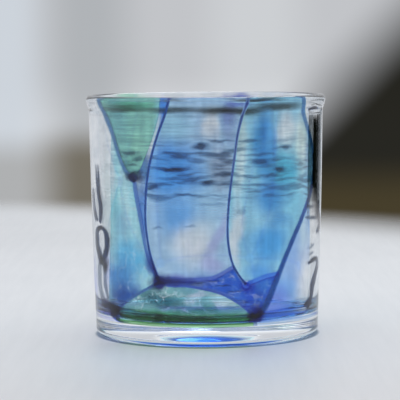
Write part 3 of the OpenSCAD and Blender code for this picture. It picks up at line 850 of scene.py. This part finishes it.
def placed(look, colour, rise, side, places, softness):
    edge, fade = softness
    for code, near, far, low, high, share in places:
        middle, half = (near + far) / 2, (far - near) / 2
        across = look.math("ABSOLUTE", look.minus(side, middle))
        mask = look.times(look.ramp(across, half - edge, half + edge, share, 0.0),
                          look.fall(rise, high, high + fade))
        mask = look.times(mask, look.ramp(rise, low - FOOT_SOFTNESS, low))
        colour = look.blend(mask, colour, opaque(code))
    return colour


def dark_corner(look, colour, rise, side):
    """The dim part of the room behind the glass on its right, whose top edge slopes up to the right."""
    mask = look.times(look.ramp(look.minus(rise, side), *DARK_TOP, DARK_STRENGTH, 0.0),
                      look.ramp(side, *DARK_LEFT))
    mask = look.times(mask, look.fall(side, *DARK_RIGHT))
    dark = look.blend(look.ramp(rise, *DARK_TURN), *map(opaque, DARK_CODES))
    return look.blend(mask, colour, dark)


def backdrop():
    world = bpy.data.worlds.new("soft_studio")
    bpy.context.scene.world = world
    look = Look("soft_studio", world)
    x, y, z = look.split(look.node("ShaderNodeTexCoord").outputs["Generated"])
    rise = look.times(look.math("ARCSINE", z), RADIAN)
    side = look.times(look.math("ARCTAN2", x, y), RADIAN)
    colour = opaque(WALL_CODE)
    for code, low, high in WALL_LAYERS:
        colour = look.blend(look.ramp(rise, low, high), colour, opaque(code))
    direct = dark_corner(look, placed(look, colour, rise, side, DIM_PLACES, DIM_SOFTNESS), rise, side)
    bent = placed(look, colour, rise, side, DARK_SCREEN, SCREEN_SOFTNESS)
    colour = look.blend(look.node("ShaderNodeLightPath").outputs["Is Camera Ray"], bent, direct)
    colour = look.blend(look.ramp(rise, *GROUND_ENDS), opaque(GROUND_CODE), colour)
    look.surface(look.node("ShaderNodeBackground", {"Color": colour}).outputs[0])


# Name, place, the disk's width and its power in watts
LAMPS = [("back_light", (0.25, 1.6, 1.5), 0.9, 7), ("front_fill", (-0.9, -1.4, 1.3), 1.2, 3)]
LAMP_AIM = Vector((0, 0, 0.04))


def lamp(name, place, size, energy):
    data = bpy.data.lights.new(name, "AREA")
    data.shape = "DISK"
    data.size = size
    data.energy = energy
    piece = linked(name, data)
    piece.location = place
    piece.rotation_euler = (LAMP_AIM - Vector(place)).to_track_quat("-Z", "Y").to_euler()


# The camera, solved from the outline in the photograph. AXIS_PX is where that shows the glass's axis.
FRAME_PX = 400
FOCAL_PX = 2036
AXIS_PX = 206.3
SENSOR_MM = 36
CAMERA_PLACE = (0, -0.750, 0.1067)
CAMERA_PITCH = math.radians(4.4)
CAMERA_ROLL = math.radians(0.4)


def camera():
    data = bpy.data.cameras.new("camera")
    data.sensor_width = SENSOR_MM
    data.lens = FOCAL_PX / FRAME_PX * SENSOR_MM
    data.shift_x = -(AXIS_PX - FRAME_PX / 2) / FRAME_PX
    data.clip_start = 0.01
    piece = linked("camera", data)
    turn = Matrix.Rotation(math.pi / 2 - CAMERA_PITCH, 4, "X") @ Matrix.Rotation(-CAMERA_ROLL, 4, "Z")
    piece.matrix_world = Matrix.Translation(CAMERA_PLACE) @ turn
    bpy.context.scene.camera = piece


# The coloured plates. Colours are what each place looks like against the light.

RIM_STREAKS = [(-44, 0.977, 26, 0.022, 0.8), (-16, 0.973, 20, 0.024, 0.85), (6, 0.968, 18, 0.03, 0.92),
    (20, 0.966, 16, 0.03, 0.88), (38, 0.984, 24, 0.028, 0.9), (26, 1.012, 22, 0.008, 0.9),
    (-16, 1.012, 9, 0.006, 0.6), (-44, 0.992, 18, 0.007, 0.5)]
# Painted dark refraction strokes on the plates: angle, height share, half width, half height, strength
WEDGE_REFRACTION_STROKES = [(-41, 0.775, 8, 0.010, 0.5), (-35, 0.75, 5, 0.011, 0.6), (-39, 0.725, 5, 0.007, 0.5),
    (-36, 0.69, 5, 0.012, 0.6)]
BLUE_REFRACTION_STROKES = [(-2.5, 0.808, 7, 0.018, 0.8), (7, 0.83, 9, 0.008, 0.6), (-18, 0.776, 8, 0.009, 0.55),
    (-13, 0.757, 7, 0.013, 0.65), (9.5, 0.774, 4, 0.013, 0.6), (-4, 0.745, 8, 0.012, 0.5),
    (10.5, 0.735, 4, 0.013, 0.6), (-16, 0.706, 12, 0.011, 0.75), (10, 0.676, 4, 0.012, 0.55),
    (0.7, 0.647, 6, 0.015, 0.8), (-27, 0.622, 6, 0.010, 0.6), (-10, 0.592, 10, 0.008, 0.5),
    (-25, 0.438, 4, 0.006, 0.35), (-8, 0.45, 4, 0.006, 0.35), (-20, 0.66, 8, 0.006, 0.3)]
TEAL_REFRACTION_STROKES = [(21, 0.83, 9, 0.008, 0.6), (43, 0.797, 5, 0.014, 0.6), (27, 0.767, 14, 0.009, 0.5),
    (27, 0.732, 8, 0.015, 0.6), (39, 0.698, 6, 0.018, 0.8), (34, 0.668, 10, 0.011, 0.6),
    (27, 0.63, 12, 0.009, 0.5), (17, 0.51, 5, 0.02, 0.3), (54, 0.714, 6, 0.010, 0.4),
    (56, 0.66, 6, 0.012, 0.4), (32, 0.58, 6, 0.012, 0.4)]
FOOT_REFRACTION_STROKES = [(-12, 0.2, 6, 0.004, 0.5), (-4, 0.19, 7, 0.004, 0.5), (3, 0.2, 6, 0.005, 0.5),
    (8, 0.178, 6, 0.005, 0.5), (14, 0.15, 6, 0.004, 0.5), (20, 0.1, 5, 0.006, 0.5)]
BACK_BASE = "c9d3de"
BACK_WASHES = [("a9d2de", 122, 0.6, 22, 0.35, 0.7), ("5b9cd0", 143, 0.77, 10, 0.32, 0.85),
    ("5466b4", 163, 0.985, 13, 0.05, 0.9), ("a9a8d0", 167, 0.92, 7, 0.07, 0.6),
    ("bccfe6", 178, 0.5, 20, 0.3, 0.6), ("8cc4b0", 226, 0.98, 24, 0.06, 0.8),
    ("a6d4dc", 246, 0.55, 16, 0.25, 0.7), ("8f9cd8", 268, 0.2, 24, 0.18, 0.7),
    ("93bcdc", 128, 0.07, 20, 0.09, 0.6), ("96acdc", 185, 0.07, 30, 0.09, 0.6),
    ("c4dcc8", 108, 0.85, 10, 0.12, 0.6)]
PLATES = {
    "wedge_green": dict(base="80b8b0", washes=[("6ca4ac", -48, 0.92, 12, 0.16, 0.8),
        ("8cc0b0", -36, 0.8, 7, 0.1, 0.6), ("84bcd4", -23, 0.95, 4, 0.16, 0.8, -18),
        ("548c8c", -40, 0.73, 8, 0.06, 0.6)], refraction_strokes=WEDGE_REFRACTION_STROKES, streaks=RIM_STREAKS, refraction_waves=0.35),
    "strip_pale": dict(base="b4c8e2", washes=[("4488e0", -20, 0.96, 6, 0.17, 1.0),
        ("d2dce8", -28, 0.76, 5, 0.09, 0.8), ("4878ac", -31, 0.71, 6, 0.11, 0.95),
        ("4c80c4", -33, 0.5, 6, 0.24, 0.95)], refraction_strokes=WEDGE_REFRACTION_STROKES, streaks=RIM_STREAKS, refraction_waves=0.35),
    "lobe_blue": dict(base="98b8e0", washes=[("90bcff", -17, 0.89, 15, 0.14, 1.0),
        ("d4dae2", 3, 0.9, 7, 0.11, 0.9), ("8098c4", 12, 0.93, 5, 0.14, 0.8),
        ("4890dc", -17, 0.7, 25, 0.2, 1.0), ("609ce0", -15, 0.5, 17, 0.16, 0.95),
        ("8496b0", 7, 0.71, 9, 0.15, 0.95), ("d0d8ea", -6, 0.37, 16, 0.16, 0.9),
        ("98a0cc", 6, 0.4, 5, 0.18, 0.75, -24), ("9ca0d0", 3, 0.27, 9, 0.06, 0.7),
        ("7478b8", -12, 0.21, 16, 0.03, 0.8)], refraction_strokes=BLUE_REFRACTION_STROKES, streaks=RIM_STREAKS, refraction_waves=0.75,
        lines=0.15),
    "lobe_teal": dict(base="88bce0", washes=[("b8d0d8", 16, 0.78, 5, 0.32, 0.9),
        ("98b4bc", 17, 0.88, 5, 0.12, 0.7), ("4490bc", 27, 0.84, 8, 0.18, 0.95),
        ("ccecf2", 44, 0.87, 10, 0.14, 0.9), ("c4dcd0", 54, 0.78, 8, 0.24, 0.9),
        ("50a8c8", 40, 0.69, 20, 0.13, 0.95), ("c6dedc", 15, 0.4, 5, 0.2, 0.9),
        ("3c88c4", 34, 0.57, 16, 0.12, 0.95), ("3c84c0", 40, 0.47, 10, 0.07, 0.7),
        ("4498dc", 33, 0.36, 18, 0.14, 0.95), ("4490dc", 28, 0.24, 13, 0.06, 0.8)],
        refraction_strokes=TEAL_REFRACTION_STROKES, streaks=RIM_STREAKS, refraction_waves=0.65, lines=0.15),
    "side_aqua": dict(base="98c8e0", washes=[("b0d0e4", -46, 0.62, 7, 0.18, 0.8),
        ("80b0cc", -48, 0.44, 9, 0.12, 0.7), ("54a8d4", -42, 0.29, 18, 0.12, 0.9),
        ("3c80bc", -50, 0.2, 18, 0.12, 0.95), ("1c509c", -46, 0.12, 20, 0.09, 1.0),
        ("d3dfe8", -54, 0.7, 5, 0.2, 0.7)], veins=0.3),
    "side_clear_left": dict(base="cfd5dc", washes=[("b8d8e2", -58, 0.5, 8, 0.4, 0.5)], streak=0.05,
        lines=0.05),
    "lens_green": dict(base="7cb0b4", washes=[("206070", -25, 0.122, 17, 0.062, 1.0),
        # Painted highlight: the pale wash at -6 degrees, low in the lens, stands in for caustic light
        ("c8dee4", -6, 0.13, 10, 0.04, 0.9), ("bcd4e8", 9, 0.1, 11, 0.04, 0.95),
        ("519c7c", -16, 0.05, 46, 0.03, 0.8), ("1f4a34", -22, 0.008, 46, 0.026, 0.85)], swirl=LENS_PUSH,
        veins=0.7),
    "foot_royal": dict(base="2058bc", washes=[("2450bc", 22, 0.09, 9, 0.09, 0.8),
        ("64789c", -9, 0.19, 15, 0.03, 0.9), ("3478c8", 30, 0.18, 8, 0.05, 0.6)], refraction_strokes=FOOT_REFRACTION_STROKES,
        veins=0.35),
    "foot_violet": dict(base="86a8e2", washes=[("748cdc", 36, 0.09, 15, 0.1, 0.95),
        ("b2c8e8", 58, 0.4, 8, 0.16, 0.8), ("e4e6ea", 63, 0.15, 15, 0.26, 1.0)], streak=0.05,
        lines=0.05),
    "side_clear_right": dict(base="d4d8de", washes=[("c4d2e6", 62, 0.3, 6, 0.25, 0.4)], streak=0.05,
        lines=0.05),
}
# The floor's plates and canes, by the tint at their rim
FLOOR_RIMS = {
    "floor_green": "4c8c54", "floor_blue": "8cacd4", "floor_aqua": "a4c8dc", "floor_violet": "a4acd8",
    "floor_hub": "7fa4e0", "cane_floor_front": "4a6c9c", "cane_floor_right": "5c6cb8",
    "cane_floor_back": "6c84b8", "cane_floor_left": "4f6cac",
}
BACK_PLATES = ["back_aqua", "back_band", "back_sky", "back_pale", "back_wedge", "back_violet",
               "back_lens_teal", "back_lens_blue"]

# The front canes: spread past the core, colour, colour carried over the join, core, softness, strength
# and share of the strength that is left high up
NAVY = "003880"
FRONT_CANE_LOOKS = {
    "cane_wedge_left": (2.8, "446c98", "84acbc", 0.3, 1.6, 1.0, 1.0),
    "cane_strip": (3.4, "34589c", "6c94c4", 0.0, 1.8, 0.85, 1.0),
    "cane_lobe_left": (0.6, NAVY, "6f94cc", 0.3, 1.1, 1.0, 1.0),
    "cane_lobe_mid": (0.6, NAVY, "8cacd0", 0.25, 1.1, 1.0, 0.95),
    "cane_lobe_right": (2.0, "043c84", "5c98c0", 0.3, 1.5, 1.0, 0.62),
    "cane_lobe_base": (5.0, "4c60a8", "5c78bc", 0.0, 1.9, 0.7, 1.0),
    "cane_teal_base": (3.5, "3468c4", "4480cc", 0.0, 1.9, 0.8, 1.0),
    "cane_lens_right": (1.0, "20409c", "5a7cbc", 0.0, 1.5, 0.8, 1.0),
    "cane_lens_left": (1.0, "2a4488", "5a90b4", 0.0, 1.5, 0.9, 1.0),
}
# Their paths, as angle, height share and width in units of CANE_W
FRONT_CANE_SHARES = {
    "cane_wedge_left": [[-64, 1.03, 2.4], [-58, 0.94, 2.3], [-53, 0.87, 2.0], [-49.5, 0.8, 1.7],
        [-46.5, 0.74, 1.6], [-43, 0.69, 1.6], [-38, 0.66, 1.6]],
    "cane_strip": [[-38, 0.66, 1.4], [-37, 0.59, 1.5], [-35.5, 0.52, 1.4], [-34, 0.45, 1.2],
        [-32.5, 0.37, 1], [-30, 0.29, 1], [-24.5, 0.19, 1.4]],
    "cane_lobe_left": [[-17, 1.03, 1.2], [-20.5, 0.94, 1.1], [-24, 0.86, 1], [-27, 0.78, 1],
        [-29.3, 0.7, 1.1], [-30.7, 0.62, 1.2], [-31.5, 0.54, 1.1], [-31.6, 0.46, 1], [-30.5, 0.37, 1],
        [-28.5, 0.29, 1.1], [-24.5, 0.19, 1.6]],
    "cane_lobe_mid": [[21, 1.03, 1.6], [18, 0.95, 1.3], [15.5, 0.86, 1.1], [13.8, 0.75, 1],
        [12, 0.63, 1], [10.8, 0.52, 1], [10.4, 0.42, 1], [11.2, 0.34, 1], [13, 0.275, 1],
        [16, 0.225, 1.1], [20, 0.18, 1.3]],
    "cane_lobe_right": [[54, 1.03, 2.2], [55.5, 0.96, 2.2], [58.5, 0.9, 2], [62.5, 0.84, 2],
        [66, 0.78, 1.8], [67.5, 0.71, 1.7], [66.8, 0.64, 1.9], [64, 0.575, 2.2], [60, 0.52, 2.2],
        [55, 0.455, 2.1], [49.5, 0.385, 2], [44.5, 0.31, 2], [40.5, 0.245, 2.1], [37, 0.18, 2.3],
        [33.5, 0.115, 2.3], [30, 0.06, 2.3], [26, 0.02, 2.3]],
    "cane_lobe_base": [[-24.5, 0.19, 1.6], [-19, 0.207, 1.2], [-12, 0.203, 1], [-4, 0.207, 1],
        [4, 0.217, 1], [13.4, 0.262, 1]],
    "cane_teal_base": [[20, 0.18, 1.3], [26, 0.197, 1.2], [32, 0.212, 1.2], [39, 0.22, 1.2]],
    "cane_lens_right": [[-24.5, 0.19, 1.6], [-18, 0.178, 1.3], [-11, 0.178, 1.1], [-4, 0.169, 1],
        [3, 0.155, 1.1], [9, 0.136, 1.2], [15, 0.105, 1.3], [20, 0.072, 1.4], [26, 0.02, 2]],
    "cane_lens_left": [[-24.5, 0.19, 1.6], [-31, 0.16, 1.2], [-38, 0.128, 1.1], [-45.5, 0.09, 1.2],
        [-53, 0.048, 1.4], [-60, 0.02, 2]],
}
BACK_CANE_SHARES = {
    "cane_back_right": [[102, 1.03, 1.4], [98, 0.85, 1], [95.5, 0.66, 1], [97, 0.47, 1],
        [102, 0.32, 1.1], [112, 0.19, 1.5]],
    "cane_band_right": [[135, 1.03, 1.2], [136.5, 0.82, 1], [138, 0.62, 1], [141, 0.46, 1],
        [146, 0.33, 1.1], [154, 0.2, 1.4]],
    "cane_band_left": [[152, 1.03, 1.2], [151, 0.82, 1], [153, 0.62, 1], [157, 0.47, 1],
        [159, 0.33, 1.1], [154, 0.2, 1.4]],
    "cane_back_mid": [[203, 1.03, 1.2], [206, 0.85, 1], [208.5, 0.66, 1], [209.5, 0.47, 1],
        [209, 0.32, 1.1], [208, 0.18, 1.5]],
    "cane_back_wedge_right": [[220, 1.03, 1.6], [224, 0.88, 1.3], [230, 0.74, 1.2], [238, 0.6, 1.6]],
    "cane_back_wedge_left": [[264, 1.03, 1.6], [258, 0.88, 1.3], [249, 0.74, 1.2], [238, 0.6, 1.6]],
    "cane_back_stem": [[238, 0.6, 1.6], [235, 0.48, 1.2], [229, 0.36, 1.1], [220, 0.26, 1.2],
        [208, 0.18, 1.5]],
    "cane_back_left": [[238, 0.6, 1.6], [248, 0.48, 1.2], [259, 0.36, 1.1], [269, 0.24, 1.1],
        [278, 0.12, 1.3], [286, -0.03, 1.8]],
    "cane_back_lens_top_right": [[112, 0.19, 1.5], [122, 0.205, 1.1], [138, 0.207, 1.1],
        [154, 0.2, 1.4]],
    "cane_back_lens_top_left": [[154, 0.2, 1.4], [170, 0.212, 1], [190, 0.207, 1], [208, 0.18, 1.5]],
    "cane_back_lens_right": [[112, 0.19, 1.5], [106, 0.13, 1.1], [100, 0.07, 1.1], [94, 0.02, 1.8]],
    "cane_back_lens_left": [[208, 0.18, 1.5], [217, 0.13, 1.1], [225, 0.075, 1.1], [232, 0.02, 1.8]],
    "cane_back_foot": [[154, 0.2, 1.4], [151.5, 0.14, 1.1], [151, 0.08, 1.1], [152, 0.02, 1.4]],
}
# Painted dark refraction lines that curl near the glass's sides, standing in for dark surroundings bent by
# the glass; their paths are like the canes' paths
REFRACTION_LINE_SHARES = {
    "refraction_line_left_high": [[-71.5, 0.71, 0.5], [-71, 0.65, 2], [-69.5, 0.59, 3.2], [-68, 0.555, 3.8],
        [-66.5, 0.52, 3.8], [-67, 0.475, 3.4], [-68.5, 0.44, 2.2]],
    "refraction_line_left_outer": [[-81, 0.595, 1.5], [-80, 0.555, 2.2], [-79, 0.51, 2.2], [-77, 0.475, 2.2],
        [-74, 0.445, 1.5]],
    "refraction_line_left_loop": [[-68.5, 0.245, 3], [-70, 0.27, 3.4], [-72, 0.295, 3.4], [-74.5, 0.325, 3],
        [-75, 0.365, 3], [-74, 0.4, 1.9], [-69, 0.417, 1.4], [-64, 0.412, 1.9], [-61, 0.385, 3.8],
        [-60.5, 0.345, 4.1], [-61.5, 0.315, 3.8], [-64, 0.285, 3.4], [-66, 0.26, 3]],
    "refraction_line_left_low": [[-66, 0.045, 1.9], [-69, 0.085, 2.2], [-72, 0.12, 2.6], [-73, 0.16, 3],
        [-73, 0.195, 3], [-72, 0.235, 2.2], [-68, 0.255, 1.5], [-64, 0.235, 3], [-64, 0.2, 3],
        [-64, 0.16, 3], [-63, 0.13, 2.6], [-61, 0.09, 2.2]],
    "refraction_line_right_rim": [[60, 0.966, 0.7], [66, 0.972, 1.1], [72, 0.968, 0.7]],
    "refraction_line_right_high": [[60.5, 0.52, 0.8], [64.5, 0.51, 1.2], [68.5, 0.515, 0.8]],
    "refraction_line_right_mid": [[59, 0.465, 0.7], [65, 0.46, 1.2], [70.5, 0.455, 1.2], [76, 0.455, 1.2]],
    "refraction_line_right_outer": [[77.5, 0.53, 1.8], [77.5, 0.485, 3], [79.5, 0.455, 2.7], [84, 0.425, 2.7],
        [80.5, 0.4, 2.4], [77, 0.38, 1.8]],
    "refraction_line_right_dash": [[64, 0.315, 0.7], [70, 0.332, 1.2]],
    "refraction_line_right_small": [[64, 0.284, 0.7], [69, 0.296, 1.1]],
    "refraction_line_right_low": [[63, 0.248, 1], [69, 0.255, 1.2], [76, 0.26, 1.4], [79, 0.23, 2.1],
        [76, 0.195, 2.4], [73, 0.165, 2.7], [70, 0.13, 3], [68.5, 0.095, 3], [67, 0.065, 2.7],
        [64, 0.035, 1.8]],
}
# Painted refraction lines that are drawn paler
FAINT_REFRACTION_LINES = ["refraction_line_left_low", "refraction_line_right_high", "refraction_line_right_mid", "refraction_line_right_dash",
                 "refraction_line_right_small"]
# Blots where canes run together: colour, place, half width and height, turn, strength, colour and
# radius of the hole that it fills
KNOTS = {
    "knot_wedge": ("1c2c58", (-38.5, 0.664), (6.5, 2.6), -4, 1.0, "34507c", 1.75),
    "knot_lens": ("18286c", (-24.5, 0.19), (6.8, 4.4), 25, 1.0, "20307c", 2.17),
    "web_lens_right": ("485088", (-15, 0.196), (9.0, 2.6), 0, 0.85, None, 1.0),
    "web_lens_up": ("4c589f", (-29.5, 0.26), (2.8, 7.0), 22, 0.8, None, 1.0),
    "knot_lobe": ("2c50b0", (20, 0.17), (5.0, 3.6), -25, 0.8, "3058b4", 1.4),
    "knot_foot_right": ("1c2a70", (26.5, 0.03), (5.2, 6.5), 0, 1.0, "24347c", 2.25),
    "knot_foot_left": ("303460", (-58, 0.04), (7.0, 5.6), 0, 0.9, "384470", 2.25),
    "blot_left": ("20283c", (-63, 0.245), (5.0, 3.2), 60, 0.97, None, 1.0),
    "shade_left": ("6c6c94", (-66, 0.05), (7.0, 5.0), 0, 0.85, None, 1.0),
    "shade_left_mid": ("7c80a0", (-70, 0.27), (6.0, 3.0), 0, 0.6, None, 1.0),
    "shade_right": ("7c84a8", (70, 0.04), (3.5, 3.0), 30, 0.5, None, 1.0),
}
# The same round the back, where the line's colour is carried over: place and radius
BACK_KNOTS = {
    "knot_back_right": ((112, 0.19), 1.75), "knot_back_mid": ((154, 0.2), 1.75),
    "knot_back_left": ((208, 0.18), 1.75), "knot_back_wedge": ((238, 0.6), 1.75),
    "knot_back_right_foot": ((94, 0.02), 2.25), "knot_back_left_foot": ((232, 0.02), 2.25),
    "knot_back_foot": ((152, 0.02), 1.92),
}

# How the pieces that share a look are drawn: colour, colour carried over the join, core, softness,
# strength and share of the strength that is left high up, as for the front canes
BACK_CANE_LOOK = ("6c86bc", None, -0.3, 1.8, 0.4, 1.0)
BACK_SPREAD = 3.0
BACK_BARE_ENDS = 2
# Looks of the painted dark refraction lines near the sides
REFRACTION_LINE_LOOK = ("102c50", None, 0.5, 1.3, 1.0, 1.0)
FAINT_REFRACTION_LINE_LOOK = ("3c5470", None, 0.2, 1.6, 0.75, 1.0)
REFRACTION_LINE_SPREAD = 1.2
# The same for the blots of the back: colour, strength, colour of the hole, and the blot's half width
# and half height, in radii of the hole
BACK_BLOT_LOOK = ("8ca4cc", 0.2, "b8c6da")
BACK_BLOT_SHARES = (1.8, 1.6)


def dress(node, material):
    """Gives a node that is kept its own material."""
    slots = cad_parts[node].data.materials
    slots.clear()
    slots.append(material)


def dress_plates():
    for node, settings in PLATES.items():
        dress(node, plate_look(node, **settings))
    for node, rim in FLOOR_RIMS.items():
        dress(node, floor_look(node, rim))
    back_glass = plate_look("back_glass", BACK_BASE, BACK_WASHES, streak=0.1, lines=0.1, back=True)
    for node in BACK_PLATES:
        dress(node, back_glass)


def add_canes_and_refraction_lines():
    for node, (spread, *settings) in FRONT_CANE_LOOKS.items():
        name = "soft_" + node
        soft_cane_and_refraction_line(name, FRONT_CANE_SHARES[node], node, cane_and_refraction_line_look(name, *settings), spread)
    back_line = cane_and_refraction_line_look("back_line", *BACK_CANE_LOOK, back=True)
    for node, shares in BACK_CANE_SHARES.items():
        soft_cane_and_refraction_line("soft_" + node, shares, node, back_line, BACK_SPREAD, BACK_BARE_ENDS)
    # Painted dark refraction lines near the glass's sides
    refraction_line = cane_and_refraction_line_look("refraction_line", *REFRACTION_LINE_LOOK)
    faint_refraction_line = cane_and_refraction_line_look("faint_refraction_line", *FAINT_REFRACTION_LINE_LOOK)
    for name, shares in REFRACTION_LINE_SHARES.items():
        soft_cane_and_refraction_line(name, shares, None, faint_refraction_line if name in FAINT_REFRACTION_LINES else refraction_line, REFRACTION_LINE_SPREAD)


def add_knots():
    for name, (code, at, size, turn, strength, halo, hole_r) in KNOTS.items():
        soft_knot(name, at, size, blot_look(name, code, strength, halo), turn, hole_r)
    back_blot = blot_look("back_blot", *BACK_BLOT_LOOK)
    for name, (at, hole_r) in BACK_KNOTS.items():
        soft_knot(name, at, [share * hole_r for share in BACK_BLOT_SHARES], back_blot, hole_r=hole_r)


camera()
table()
backdrop()
for settings in LAMPS:
    lamp(*settings)
glass_body()
dress_plates()
add_canes_and_refraction_lines()
add_knots()

# Bounces enough for light to pass every layer of glass
scene = bpy.context.scene
scene.view_settings.view_transform = "Standard"
scene.cycles.transparent_max_bounces = 64
scene.cycles.glossy_bounces = 32
scene.cycles.transmission_bounces = 32
scene.cycles.max_bounces = 64
